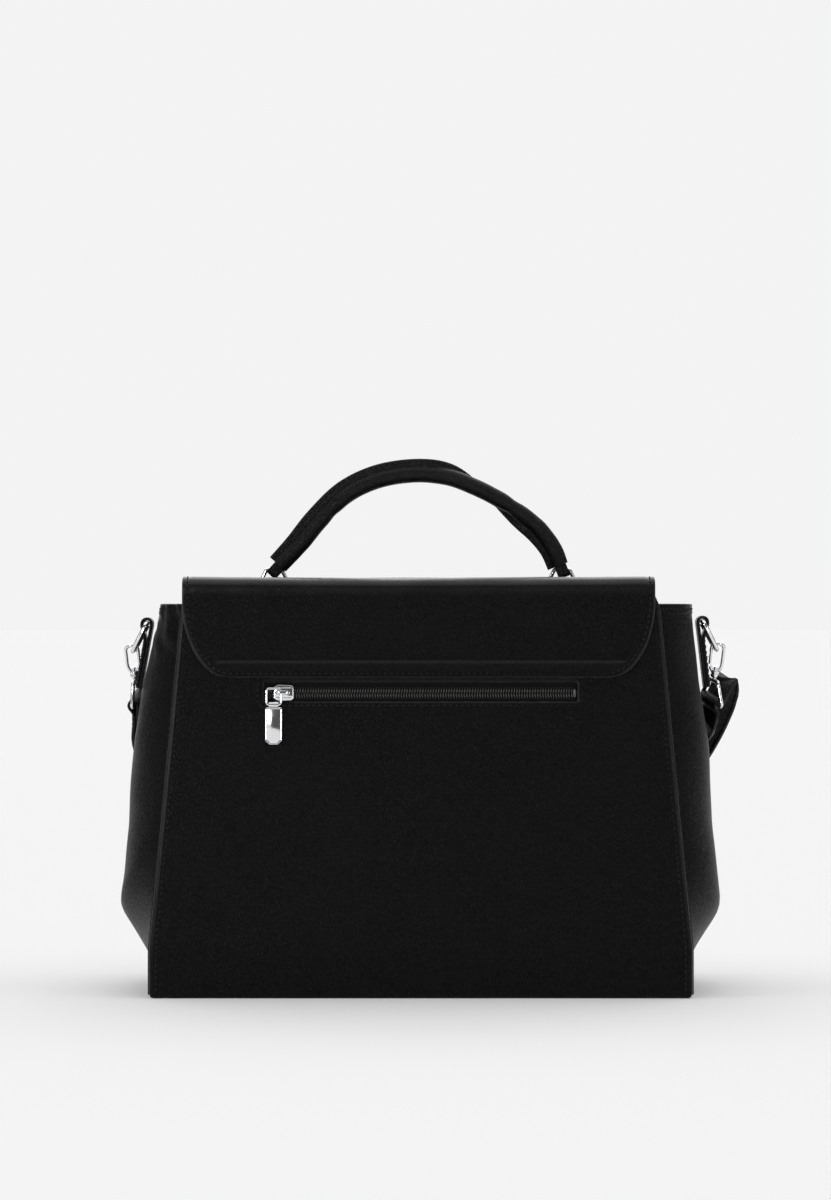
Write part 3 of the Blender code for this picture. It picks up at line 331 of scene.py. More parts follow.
def cloth_finish(name, colour, rib, roughness):
    """Polyester woven on a loom with its ribs on a slant."""
    # It gives the eye a flat dark cloth with fine slanting lines and a weak sheen.
    constants = {
        "Roughness": roughness,
        "IOR": 1.45,
        "Specular IOR Level": 0.2,
        "Sheen Weight": 0.05,
        "Sheen Roughness": 0.5,
    }
    made, tree, shader, place = new_finish(name, colour, constants)
    slant = {"Vector": place, "Rotation": (0.0, math.radians(38), math.radians(52)), "Scale": (1 / rib,) * 3}
    lines = {"Vector": add_node(tree, "ShaderNodeMapping", slant).outputs[0], "Scale": 1.0, "Distortion": 0.4}
    ribs = add_node(tree, "ShaderNodeTexWave", lines).outputs["Fac"]
    fibre = add_node(tree, "ShaderNodeTexNoise", {"Vector": place, "Scale": 1 / (rib * 0.3), "Detail": 2.0})
    raised = {0: fibre.outputs["Fac"], 1: 0.4, 2: ribs}
    weave = add_node(tree, "ShaderNodeMath", raised, operation="MULTIPLY_ADD").outputs[0]
    tint = {0: ribs, **shades(colour, 0.35)}
    height = {"Height": weave, "Distance": rib * 0.12, "Strength": 0.7}
    feed(shader, {
        "Base Color": add_node(tree, "ShaderNodeMix", tint, data_type="RGBA").outputs[2],
        "Normal": add_node(tree, "ShaderNodeBump", height).outputs[0],
    })
    return made


def nylon_finish():
    """Nylon monofilament, drawn, coiled and heat set."""
    # It gives the eye rows of small grey beads that are a little glossy.
    base = tuple(colours().coil)
    made, tree, shader, place = new_finish("nylon_monofilament_coiled", base, {"IOR": 1.53})
    haze = add_node(tree, "ShaderNodeTexNoise", {"Vector": place, "Scale": 1 / 0.0015}).outputs["Fac"]
    blur = {"Value": haze, "From Min": 0.3, "From Max": 0.7, "To Min": 0.22, "To Max": 0.4}
    tint = {0: haze, **shades(base, 0.3)}
    feed(shader, {
        "Base Color": add_node(tree, "ShaderNodeMix", tint, data_type="RGBA").outputs[2],
        "Roughness": add_node(tree, "ShaderNodeMapRange", blur).outputs[0],
    })
    return made


def metal_finish(name, colour, low, high, grit):
    """Zinc alloy, die cast, tumbled and electroplated, or steel sheet, pressed and plated."""
    # It gives the eye a mirror that mixes black and white in its curves, dulled in a few soft patches.
    made, tree, shader, place = new_finish(name, colour, {"Metallic": 1.0})
    haze = add_node(tree, "ShaderNodeTexNoise", {"Vector": place, "Scale": 1 / 0.006, "Detail": 4.0})
    haze = haze.outputs["Fac"]
    fine = add_node(tree, "ShaderNodeTexNoise", {"Vector": place, "Scale": 1 / grit, "Detail": 2.0})
    blur = {"Value": haze, "From Min": 0.35, "From Max": 0.75, "To Min": low, "To Max": high}
    tint = {0: haze, **shades(colour, 0.06)}
    height = {"Height": fine.outputs["Fac"], "Distance": 0.00002, "Strength": 0.25}
    feed(shader, {
        "Base Color": add_node(tree, "ShaderNodeMix", tint, data_type="RGBA").outputs[2],
        "Roughness": add_node(tree, "ShaderNodeMapRange", blur).outputs[0],
        "Normal": add_node(tree, "ShaderNodeBump", height).outputs[0],
    })
    return made


def fibre_finish(name, colour, grain):
    """Pressed or twisted fibre."""
    # It gives the eye a dry matt surface with short pale and dark fibres.
    made, tree, shader, place = new_finish(name, colour, {"Roughness": 0.9, "IOR": 1.4})
    drawn = {"Vector": place, "Scale": (1 / (grain * 4), 1 / grain, 1 / grain)}
    fibres = {"Vector": add_node(tree, "ShaderNodeMapping", drawn).outputs[0], "Scale": 1.0, "Detail": 4.0}
    fibres = add_node(tree, "ShaderNodeTexNoise", fibres).outputs["Fac"]
    tint = {0: fibres, **shades(colour, 0.35)}
    height = {"Height": fibres, "Distance": 0.0001, "Strength": 0.6}
    feed(shader, {
        "Base Color": add_node(tree, "ShaderNodeMix", tint, data_type="RGBA").outputs[2],
        "Normal": add_node(tree, "ShaderNodeBump", height).outputs[0],
    })
    return made


def floor_finish():
    """Matt painted board."""
    # It gives the eye an even pale ground that takes a soft shadow.
    made, tree, shader, place = new_finish("matt_painted_board", tuple(colours().floor), {"IOR": 1.2})
    cloud = add_node(tree, "ShaderNodeTexNoise", {"Vector": place, "Scale": 1 / 0.4}).outputs["Fac"]
    blur = {"Value": cloud, "To Min": 0.92, "To Max": 0.98}
    feed(shader, {"Roughness": add_node(tree, "ShaderNodeMapRange", blur).outputs[0]})
    return made


def make_finishes():
    """All finishes by the name of what they cover."""
    c = colours()
    s = sizes()
    return {
        "leather": leather_finish("polyurethane_leather_embossed", s.grain_width, s.grain_length, 1.18),
        "strap_leather": leather_finish("polyurethane_leather_rolled", s.grain_width, s.grain_width, 1.3),
        "thread": thread_finish(),
        "hole": hole_shade_finish(),
        "lining": cloth_finish("polyester_twill_woven", tuple(c.lining), s.cloth_rib, 0.75),
        "tape": cloth_finish("polyester_tape_woven", tuple(c.tape), 0.0007, 0.85),
        "coil": nylon_finish(),
        "chrome": metal_finish("zinc_alloy_chrome_plated", tuple(c.chrome), 0.05, 0.14, 0.0012),
        "nickel": metal_finish("steel_nickel_plated", tuple(c.nickel), 0.22, 0.36, 0.0005),
        "board": fibre_finish("fibreboard_pressed", tuple(c.board), 0.0006),
        "cord": fibre_finish("cotton_cord_twisted", tuple(c.cord), 0.0005),
        "floor": floor_finish(),
    }


FINISHES = {}


def finish_of(name):
    """A finish, made when it is first asked for."""
    if not FINISHES:
        FINISHES.update(make_finishes())
    return FINISHES[name]


# Shapes, all in millimetres until a piece is finished


def add_piece(bm, name, finish, body, replaces=(), crisp=40.0, outward=True):
    """Turn a bmesh in millimetres into a finished piece that rides on a body."""
    bmesh.ops.remove_doubles(bm, verts=bm.verts, dist=0.002)
    if outward:
        bmesh.ops.recalc_face_normals(bm, faces=bm.faces)
    bmesh.ops.scale(bm, vec=(MM, MM, MM), verts=bm.verts)
    mesh = bpy.data.meshes.new(name)
    bm.to_mesh(mesh)
    bm.free()
    mesh.shade_smooth()
    mesh.set_sharp_from_angle(angle=math.radians(crisp))
    mesh.materials.append(finish_of(finish))
    made = bpy.data.objects.new(name, mesh)
    bpy.context.scene.collection.objects.link(made)
    if body:
        ride(made, body, replaces)
    return made


def ride(piece, body, replaces=()):
    """Put a piece on its body and the nodes it stands for."""
    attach(piece, body)
    if replaces:
        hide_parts(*replaces)


def bend(piece, replaces=()):
    """Bake a piece's place into its mesh and hide the nodes it stands for."""
    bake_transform(piece)
    if replaces:
        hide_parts(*replaces)


def rough(x, y, z, size, seed=0.0):
    """Smooth noise from about -1 to 1 at a size in millimetres."""
    return noise.noise(Vector((x / size + seed, y / size - seed, z / size + 2.3 * seed)))


def stations(low, high, step, stops=(), fine=(0.0, 0.15, 0.5, 1.1)):
    """Places from low to high about a step apart, closer beside both ends and beside each stop."""
    places = set(np.round(np.linspace(low, high, max(2, round((high - low) / step)) + 1), 4))
    for stop in stops:
        places = {p for p in places if abs(p - stop) > fine[-1] * 1.3 or p in (low, high)}
    for stop in (low, high, *stops):
        for reach in fine:
            places |= {round(stop - reach, 4), round(stop + reach, 4)}
    return sorted(p for p in places if low <= p <= high)


def shell(points, thickness, edge, radius, skip=None, flip=False):
    """A sheet with rounded edges from a grid of outer points; edge gives each point's distance to an edge."""
    grid = np.array(points, dtype=float)
    across = np.gradient(grid, axis=1)
    along = np.gradient(grid, axis=0)
    normal = np.cross(across, along)
    normal /= np.maximum(np.linalg.norm(normal, axis=2, keepdims=True), 1e-9)
    if flip:
        normal = -normal
    near = np.clip(np.array(edge) / radius, 0.0, 1.0)
    sink = thickness / 2 * (1 - np.sqrt(np.clip(1 - (1 - near) ** 2, 0.0, 1.0)))
    outer = grid - normal * sink[..., None]
    inner = grid - normal * (thickness - sink)[..., None]
    rows, columns = grid.shape[:2]
    bm = bmesh.new()
    layers = [[[bm.verts.new(p) for p in row] for row in layer] for layer in (outer, inner)]
    kept = np.ones((rows - 1, columns - 1), dtype=bool) if skip is None else ~skip
    for i in range(rows - 1):
        for j in range(columns - 1):
            if kept[i, j]:
                for layer, turned in zip(layers, (flip, not flip)):
                    quad = [layer[i][j], layer[i][j + 1], layer[i + 1][j + 1], layer[i + 1][j]]
                    bm.faces.new(quad[::-1] if turned else quad)
    return bm, (1 - near)


def sheet_piece(
    name, finish, body, points, thickness, edge, radius=1.0, skip=None, flip=False, replaces=(), painted_highlight=0.0,
):
    """A leather sheet with rounded edges, marked lighter as rubbed and as painted highlight; an added mask
    marks more places of painted highlight.
    """
    bm, rub_and_highlight = shell(points, thickness, edge, radius, skip, flip)
    rub_and_highlight = np.maximum(rub_and_highlight, painted_highlight)
    layer = bm.verts.layers.float.new("rub_and_highlight")
    for vert, value in zip(bm.verts, np.concatenate([rub_and_highlight.ravel(), rub_and_highlight.ravel()])):
        vert[layer] = float(value)
    loose = [v for v in bm.verts if not v.link_faces]
    bmesh.ops.delete(bm, geom=loose, context="VERTS")
    return add_piece(bm, name, finish, body, replaces, crisp=60.0, outward=False)


def grid_edges(points, ends=(True, True, True, True)):
    """Distance from each grid point to the nearest end of its row and column."""
    grid = np.array(points, dtype=float)
    far = np.full(grid.shape[:2], 1e3)
    for axis, (low, high) in ((0, ends[:2]), (1, ends[2:])):
        steps = np.linalg.norm(np.diff(grid, axis=axis), axis=2)
        run = np.concatenate(
            [np.zeros_like(steps.take([0], axis=axis)), np.cumsum(steps, axis=axis)], axis=axis,
        )
        if low:
            far = np.minimum(far, run)
        if high:
            far = np.minimum(far, run.take([-1], axis=axis) - run)
    return far


def circle(radius, sides, centre=(0.0, 0.0)):
    """Points of a circle, as (across, up) pairs."""
    turns = np.linspace(0.0, 2 * math.pi, sides, endpoint=False)
    return [(centre[0] + radius * math.cos(a), centre[1] + radius * math.sin(a)) for a in turns]


def rounded_loop(corners, radius, steps=5):
    """A closed outline with its corners rounded."""
    outline = []
    count = len(corners)
    for i in range(count):
        here = Vector(corners[i])
        before = (Vector(corners[i - 1]) - here).normalized()
        after = (Vector(corners[(i + 1) % count]) - here).normalized()
        half = before.angle(after) / 2
        centre = here + (before + after).normalized() * radius / math.sin(half)
        first = here + before * radius / math.tan(half) - centre
        last = here + after * radius / math.tan(half) - centre
        outline += [centre + first.lerp(last, k / steps).normalized() * radius for k in range(steps + 1)]
    return outline


def band(width, thickness, radius=None, steps=3):
    """Outline of a flat strip with rounded edges, as (across, up) pairs."""
    radius = radius or thickness * 0.42
    half = width / 2
    deep = thickness / 2
    corners = ((-half, -deep), (half, -deep), (half, deep), (-half, deep))
    return [tuple(p) for p in rounded_loop(corners, radius, steps)]


def join_loops(bm, low, high):
    """Faces between two loops with as many points."""
    for j in range(len(low)):
        k = (j + 1) % len(low)
        bm.faces.new((low[j], low[k], high[k], high[j]))


def sweep(bm, path, hints, profiles, closed=False, bore=None):
    """Carry a profile along a path; bore makes it a tube with open ends."""
    frames = []
    count = len(path)
    for i, point in enumerate(path):
        after = path[(i + 1) % count] if closed else path[min(i + 1, count - 1)]
        before = path[i - 1] if closed else path[max(i - 1, 0)]
        tangent = (Vector(after) - Vector(before)).normalized()
        hint = Vector(hints[i])
        across = (hint - hint.dot(tangent) * tangent).normalized()
        frames.append((Vector(point), across, tangent.cross(across)))

    def skin(outlines):
        loops = []
        for (point, across, up), outline in zip(frames, outlines):
            loops.append([bm.verts.new(point + across * a + up * b) for a, b in outline])
        for low, high in zip(loops, loops[1:] + loops[:1] if closed else loops[1:]):
            join_loops(bm, low, high)
        return loops

    outer = skin(profiles)
    if bore is not None:
        inner = skin(bore)
        for end in (0, -1):
            join_loops(bm, outer[end], inner[end])
    elif not closed:
        bm.faces.new(outer[0])
        bm.faces.new(outer[-1])
    return frames


def wire(bm, path, hint, radius, closed=True):
    """A round wire along a path."""
    sweep(bm, path, [hint] * len(path), [circle(radius, WIRE_SIDES)] * len(path), closed)


def strip(bm, path, hint, width, thickness):
    """A flat strip along a path; hint is the direction of its width."""
    sweep(bm, path, [hint] * len(path), [band(width, thickness)] * len(path))


def lathe(bm, profile, matrix, sides=32):
    """A turned shape from (radius, height) pairs, with flat ends; its axis is the matrix's Z."""
    rings = []
    for radius, height in profile:
        turns = np.linspace(0.0, 2 * math.pi, sides, endpoint=False)
        spots = [(radius * math.cos(a), radius * math.sin(a), height) for a in turns]
        rings.append([bm.verts.new(matrix @ Vector(p)) for p in spots])
    for low, high in zip(rings, rings[1:]):
        join_loops(bm, low, high)
    bm.faces.new(rings[0])
    bm.faces.new(rings[-1])


def rim_levels(low, high, round_by, steps):
    """How far a side is drawn in at each level between two rounded rims, as (inset, level) pairs."""
    arc = np.linspace(0.0, math.pi / 2, steps + 1)
    foot = [(round_by * (1 - math.sin(a)), low + round_by * (1 - math.cos(a))) for a in arc]
    return foot + [(inset, low + high - level) for inset, level in foot[::-1]]


def turned(radius, low, high, round_by):
    """Profile of a short round bar with rounded rims."""
    return [(radius - inset, level) for inset, level in rim_levels(low, high, round_by, 4)]


def smooth_path(points, step, lead=0.0):
    """Points about a step apart along a smooth curve; columns past the third are carried along."""
    points = np.array(points, dtype=float)
    spans = np.linalg.norm(np.diff(points[:, :3], axis=0), axis=1)[:, None]
    rates = np.diff(points, axis=0) / spans
    inner = (rates[:-1] * spans[1:] + rates[1:] * spans[:-1]) / (spans[:-1] + spans[1:])
    slopes = np.vstack([rates[:1], inner, rates[-1:]])
    dense = [points[0]]
    for i, span in enumerate(spans):
        for t in np.linspace(0.0, 1.0, 25)[1:]:
            start = (1 + 2 * t) * (1 - t) ** 2 * points[i] + t * (1 - t) ** 2 * span * slopes[i]
            finish = t**2 * (3 - 2 * t) * points[i + 1] + t**2 * (t - 1) * span * slopes[i + 1]
            dense.append(start + finish)
    dense = np.array(dense)
    lengths = np.concatenate([[0.0], np.cumsum(np.linalg.norm(np.diff(dense[:, :3], axis=0), axis=1))])
    places = np.linspace(0.0, lengths[-1], max(2, round(lengths[-1] / step)) + 1)
    if lead > 0:
        places = np.sort(np.append(places, (lead, lengths[-1] - lead)))
    return np.column_stack([np.interp(places, lengths, dense[:, k]) for k in range(dense.shape[1])])


def rounded_prism(bm, outline, low, high, round_by, place):
    """A flat outline carried from low to high with rounded rims; place(a, b, c) turns it into a point."""
    middle = Vector((sum(p[0] for p in outline), sum(p[1] for p in outline))) / len(outline)
    reach = max((Vector(p[:2]) - middle).length for p in outline)
    rings = []
    for inset, level in rim_levels(low, high, round_by, 3):
        shrink = 1 - inset / reach
        rings.append(
            [bm.verts.new(place(*(middle + (Vector(p[:2]) - middle) * shrink), level)) for p in outline]
        )
    for low_ring, high_ring in zip(rings, rings[1:]):
        join_loops(bm, low_ring, high_ring)
    bm.faces.new(rings[0])
    bm.faces.new(rings[-1])


# Rows of stitches and teeth


def row_tree(name, along_path):
    """Geometry nodes that set beads along lines: stitches, needle holes or zip teeth."""
    tree = bpy.data.node_groups.new(name, "GeometryNodeTree")
    tree.interface.new_socket("Geometry", in_out="INPUT", socket_type="NodeSocketGeometry")
    for label in ("Pitch", "Start", "Length", "Radius"):
        tree.interface.new_socket(label, in_out="INPUT", socket_type="NodeSocketFloat")
    tree.interface.new_socket("Turn", in_out="INPUT", socket_type="NodeSocketVector")
    tree.interface.new_socket("Finish", in_out="INPUT", socket_type="NodeSocketMaterial")
    tree.interface.new_socket("Geometry", in_out="OUTPUT", socket_type="NodeSocketGeometry")
    given = add_node(tree, "NodeGroupInput").outputs
    line = add_node(tree, "GeometryNodeMeshToCurve", {"Mesh": given["Geometry"]})
    trimmed = add_node(
        tree, "GeometryNodeTrimCurve", {"Curve": line.outputs[0], 4: given["Start"], 5: 1000.0}, mode="LENGTH"
    )
    spots = add_node(
        tree, "GeometryNodeCurveToPoints", {
            "Curve": trimmed.outputs[0], "Length": given["Pitch"],
        }, mode="LENGTH"
    )
    bead = add_node(tree, "GeometryNodeMeshUVSphere", {"Segments": 8, "Rings": 5, "Radius": 1.0})
    size = add_node(
        tree, "ShaderNodeCombineXYZ", {"X": given["Radius"], "Y": given["Radius"], "Z": given["Length"]}
    )
    shaped = add_node(
        tree, "GeometryNodeTransform", {"Geometry": bead.outputs["Mesh"], "Scale": size.outputs[0]}
    )
    aimed = add_node(
        tree, "GeometryNodeTransform", {"Geometry": shaped.outputs[0], "Rotation": given["Turn"]}
    )
    laid = add_node(
        tree, "GeometryNodeInstanceOnPoints", {
            "Points": spots.outputs["Points"], "Instance": aimed.outputs[0],
        }
    )
    if along_path:
        tree.links.new(spots.outputs["Rotation"], laid.inputs["Rotation"])
    real = add_node(tree, "GeometryNodeRealizeInstances", {"Geometry": laid.outputs[0]})
    smooth = add_node(tree, "GeometryNodeSetShadeSmooth", {"Geometry": real.outputs[0]})
    covered = add_node(
        tree, "GeometryNodeSetMaterial", {"Geometry": smooth.outputs[0], "Material": given["Finish"]}
    )
    add_node(tree, "NodeGroupOutput", {"Geometry": covered.outputs[0]})
    return tree


def row_piece(
    name,
    lines,
    finish,
    body,
    pitch,
    start,
    length,
    radius,
    turn=(0.0, 0.0, 0.0),
    along_path=True,
    replaces=(),
):
    """Beads along lines of points in millimetres, made by the row's geometry nodes into a plain mesh."""
    kind = "bead_row_along" if along_path else "bead_row_across"
    tree = bpy.data.node_groups.get(kind) or row_tree(kind, along_path)
    bm = bmesh.new()
    for line in lines:
        verts = [bm.verts.new(Vector(p) * MM) for p in line]
        for a, b in zip(verts, verts[1:]):
            bm.edges.new((a, b))
    mesh = bpy.data.meshes.new(name + "_lines")
    bm.to_mesh(mesh)
    bm.free()
    guide = bpy.data.objects.new(name + "_guide", mesh)
    bpy.context.scene.collection.objects.link(guide)
    row = guide.modifiers.new("Row", "NODES")
    row.node_group = tree
    given = {
        "Pitch": pitch,
        "Start": start,
        "Length": length / 2,
        "Radius": radius,
        "Turn": turn,
        "Finish": finish_of(finish),
    }
    for item in tree.interface.items_tree:
        if item.in_out == "INPUT" and item.name in given:
            row[item.identifier] = given[item.name]
    graph = bpy.context.evaluated_depsgraph_get()
    result = bpy.data.meshes.new_from_object(guide.evaluated_get(graph), depsgraph=graph)
    result.name = name
    guide.modifiers.remove(row)
    bpy.data.objects.remove(guide)
    if not result.polygons:
        raise RuntimeError(f"{name} has no beads")
    made = bpy.data.objects.new(name, result)
    bpy.context.scene.collection.objects.link(made)
    if body:
        ride(made, body, replaces)
    return made


def stitch_rows(name, lines, body):
    """Thread and needle holes along lines, the holes as dark beads of painted shade."""
    s = sizes()
    pitch = s.stitch_pitch
    thick = s.thread_radius
    return [
        row_piece(name, lines, "thread", body, pitch, 0.0, s.stitch_length, thick),
        row_piece(name + "_holes", lines, "hole", body, pitch, pitch / 2, pitch * 0.38, thick * 1.35),
    ]


# Surfaces of the body


def half_width(z):
    """Half width of the front and back panels at a height."""
    return PANEL_HALF_WIDTH - PANEL_TAPER * max(z - SLOPE_START, 0.0)


def half_depth(z):
    """Distance from the middle of the bag to a panel's outer face at a height."""
    return PANEL_HALF_DEPTH - PANEL_LEAN * max(z - SLOPE_START, 0.0)


def groove(distance, reach=0.9):
    """A seam's dip, 1 on its line and 0 away from it."""
    return math.exp(-((distance / reach) ** 2))


def window_gap(x, z):
    """Distance from a point of the back panel to the zip's window, and 0 inside it."""
    dx = max(abs(x) - WINDOW_HALF_LENGTH, 0.0)
    dz = max(ZIP_HEIGHT + WINDOW_LOW - z, z - ZIP_HEIGHT - WINDOW_HIGH, 0.0)
    return math.hypot(dx, dz)


def panel_side(z):
    """Where a panel's side edge is at a height, with its rounded foot and its narrowed top."""
    side = half_width(z)
    if z < 3.0:
        side -= 3.0 - math.sqrt(9.0 - (3.0 - z) ** 2)
    if z > 224.0:
        side -= 0.35 * (z - 224.0)
    return side


def panel_point(s, z, sign):
    """A point of the back (-1) or front (1) panel; s is its place across at the widest height."""
    side = panel_side(z)
    x = s
    if abs(s) > UPRIGHT_HALF_WIDTH:
        share = (abs(s) - UPRIGHT_HALF_WIDTH) / (PANEL_HALF_WIDTH - UPRIGHT_HALF_WIDTH)
        x = math.copysign(UPRIGHT_HALF_WIDTH + share * (side - UPRIGHT_HALF_WIDTH), s)
    edge = side - abs(x)
    swell = 1.1 * (1 - (x / side) ** 2) * math.sin(math.pi * min(z / 188.0, 1.0))
    fade = min(edge / 20.0, 1.0) * min(max((176.0 - z) / 20.0, 0.0), 1.0)
    swell += sizes().ripple / MM * fade * (
        rough(x, 0.0, z, 80.0, 3.0 + sign) + 0.5 * rough(x, 0.0, z, 34.0, 7.0)
    )
    swell -= 0.32 * groove(edge - 4.0)
    if sign < 0:
        swell -= 0.28 * groove(window_gap(x, z) - 3.0, 0.7) + 0.25 * max(1 - window_gap(x, z) / 2.5, 0.0)
    return (x, sign * (half_depth(z) + swell), z)


def panel_seam(sign, side, low, high, inset):
    """A line up a panel beside its side edge."""
    line = []
    for z in np.arange(low, high, 3.0):
        reach = panel_side(z) - inset
        share = (reach - UPRIGHT_HALF_WIDTH) / (panel_side(z) - UPRIGHT_HALF_WIDTH)
        s = UPRIGHT_HALF_WIDTH + share * (PANEL_HALF_WIDTH - UPRIGHT_HALF_WIDTH)
        x, y, height = panel_point(side * s, float(z), sign)
        line.append((x, y + sign * 0.08, height))
    return line


def make_panels():
    """Back and front panels, their base and the turned edges of the gussets behind them."""
    for sign, name in ((-1, "back"), (1, "front")):
        stops = (-WINDOW_HALF_LENGTH, WINDOW_HALF_LENGTH) if sign < 0 else ()
        across = stations(-PANEL_HALF_WIDTH, PANEL_HALF_WIDTH, 3.4, stops)
        levels = (ZIP_HEIGHT + WINDOW_LOW, ZIP_HEIGHT + WINDOW_HIGH) if sign < 0 else ()
        rows = stations(0.0, PANEL_TOP, 3.4, levels)
        if sign > 0:
            across = across[::-1]
        points = [[panel_point(s, z, sign) for s in across] for z in rows]
        edge = np.array(
            [[min(panel_side(p[2]) - abs(p[0]), p[2], PANEL_TOP - p[2]) for p in row] for row in points]
        )
        skip = None
        if sign < 0:
            gap = np.array([[window_gap(p[0], p[2]) for p in row] for row in points])
            edge = np.minimum(edge, gap)
            skip = (gap[:-1, :-1] + gap[1:, 1:] + gap[1:, :-1] + gap[:-1, 1:]) < 0.01
        sheet_piece(
            name + "_leather", "leather", "bag", points, PANEL_THICKNESS, edge, 1.2, skip, replaces=[
                name + "_panel"
            ]
        )
        for side in (-1, 1):
            path = []
            for z in np.arange(2.0, 226.0, 4.0):
                path.append(
                    (side * (half_width(z) - 2.0), sign * (half_depth(z) - PANEL_THICKNESS - 0.9), float(z))
                )
            turned_edge = bmesh.new()
            strip(turned_edge, path, (1.0, 0.0, 0.0), 5.4, 1.7)
            hand = "left" if side < 0 else "right"
            add_piece(turned_edge, f"turned_edge_{name}_{hand}", "leather", "bag")
    across = stations(-149.0, 149.0, 6.0)
    rows = stations(-61.6, 61.6, 6.0)
    points = [[(x, -y, 0.0) for x in across] for y in rows]
    sheet_piece(
        "base_leather", "leather", "bag", points, 2.3, grid_edges(points), 0.9, replaces=["base_panel"],
    )
    lines = []
    for sign in (-1, 1):
        lines += [panel_seam(sign, side, 5.0, 229.0, 4.0) for side in (-1, 1)]
    stitch_rows("panel_seams", lines, "bag")
    low = ZIP_HEIGHT - 7.2
    high = ZIP_HEIGHT + 8.4
    border = ((-93.5, high), (-93.5, low), (92.4, low), (92.4, high))
    line = []
    for (x0, z0), (x1, z1) in zip(border, border[1:]):
        count = max(2, round(math.hypot(x1 - x0, z1 - z0) / 2.5))
        for t in np.linspace(0.0, 1.0, count, endpoint=False):
            x, y, z = panel_point(x0 + (x1 - x0) * t, z0 + (z1 - z0) * t, -1)
            line.append((x, y - 0.06, z))
    stitch_rows("zip_border", [line], "bag")


# The two gussets differ in how sharp their fold is and how far it climbs toward the panels.
GUSSET_FOLDS = {-1: (46.0, 1.2, 0.9), 1: (26.0, 4.0, 0.55)}


def gusset_point(u, z, side):
    """A point of a gusset; u runs from its back seam to its front seam."""
    climb, soft, wave = GUSSET_FOLDS[side]
    reach = REACH_LEFT if side < 0 else REACH_RIGHT
    ridge = GUSSET_FOLD + climb * abs(u) ** 1.3
    if z < ridge:
        level = z * GUSSET_FOLD / ridge
    else:
        level = GUSSET_FOLD + (z - ridge) * (GUSSET_TOP - GUSSET_FOLD) / (GUSSET_TOP - ridge)
    middle = float(np.mean(np.interp((level - soft, level, level + soft), REACH_HEIGHTS, reach)))
    seam = half_width(z) - SEAM_INSET
    depth = half_depth(z) - PANEL_THICKNESS - 0.3
    open_part = 1 - abs(u) ** 2.2
    x = seam + (middle - seam) * open_part
    body = 1 - u * u
    swell = wave * body * (rough(0.0, u * 50, z, 46.0, 11.0 + side) + 0.5 * rough(0.0, u * 50, z, 19.0, 5.0))
    if side < 0:
        top = min(max((z - 192.0) / 14.0, 0.0), 1.0) * min((1 - abs(u)) * 6.0, 1.0)
        swell += 2.6 * top * rough(0.0, u * 50 + 0.7 * z, 0.6 * z, 9.0, 2.0)
    hem = min(max((z - GUSSET_HEM) / 0.8, 0.0), 1.0)
    swell += 0.45 * hem * body - 0.25 * groove(z - GUSSET_HEM_ROW, 0.7) * body
    return (side * (x + swell), side * u * depth, z)


def make_gussets():
    """Soft side gussets with their folds, hems and top stitches."""
    columns = stations(-1.0, 1.0, 0.045, fine=(0.0, 0.004, 0.012, 0.03))
    rows = stations(0.4, GUSSET_TOP, 2.6, (GUSSET_HEM,), (0.0, 0.2, 0.5, 0.9))
    for side, hand in ((-1, "left"), (1, "right")):
        points = [[gusset_point(u, z, side) for u in columns] for z in rows]
        edge = grid_edges(points)
        sheet_piece(
            f"gusset_{hand}_leather", "leather", "bag", points, GUSSET_THICKNESS, edge, 0.8,
            replaces=[f"gusset_{hand}"],
        )
        line = []
        for u in np.linspace(-0.985, 0.985, 70):
            x, y, z = gusset_point(float(u), GUSSET_HEM_ROW, side)
            line.append((x + side * 0.1, y, z))
        stitch_rows(f"gusset_{hand}_hem", [line], "bag")


# Flap


def top_height(y):
    """Height of the flap's top, which sags between its two folds."""
    return 236.4 + 5.3 * (y / 43.0) ** 2


def flap_profile():
    """Side line of the flap from its back edge over both folds to its front edge, as (length, y, z) rows."""
    line = [
        (0.0, -half_depth(z) - 2.5, z) for z in (FLAP_BACK_EDGE, 190.0, 200.0, 210.0, 220.0, FLAP_SHOULDER)
    ]
    fold = ((51.9, 234.2), (51.2, 237.6), (49.2, 239.8), (46.2, 241.2), (42.5, 241.6))
    line += [(0.0, -y, z) for y, z in fold]
    dip = [(y, top_height(y)) for y in (35.0, 24.0, 12.0)]
    line += [(0.0, -y, z) for y, z in dip] + [(0.0, 0.0, top_height(0.0))] + [
        (0.0, y, z) for y, z in dip[::-1]
    ]
    line += [(0.0, y, z) for y, z in fold[::-1][:-1]]
    line += [(0.0, 52.7, 234.0)]
    line += [
        (0.0, half_depth(z) + 4.4, z)
        for z in (227.0, 218.0, 205.0, 180.0, 150.0, 120.0, 104.0, FLAP_FRONT_EDGE)
    ]
    dense = smooth_path(line, 0.5)
    steps = np.linalg.norm(np.diff(dense, axis=0), axis=1)
    lengths = np.concatenate([[0.0], np.cumsum(steps)])
    middle = float(lengths[np.argmin(np.abs(dense[:, 1]) + (dense[:, 2] < 230) * 99)])
    picks = stations(
        0.0, float(lengths[-1]), 2.0, (2.7, HEM_HEIGHT - FLAP_BACK_EDGE, middle), (0.0, 0.3, 0.6, 1.0)
    )
    rows = [
        (p, float(np.interp(p, lengths, dense[:, 1])), float(np.interp(p, lengths, dense[:, 2])))
        for p in picks
    ]
    return rows, middle


def corner_cut(z, low, top, reach):
    """How far a flap's side edge is drawn in at a height by its rounded corner."""
    drop = min(max((top - z) / (top - low), 0.0), 1.0)
    return reach * (1 - math.sqrt(max(1 - drop**2, 0.0)))


def flap_corner(y):
    """Lowest height, top and reach of the rounded corner on the back or the front of the flap."""
    return (FLAP_BACK_EDGE, FLAP_SHOULDER, 27.0) if y < 0 else (FLAP_FRONT_EDGE, 146.0, 38.0)


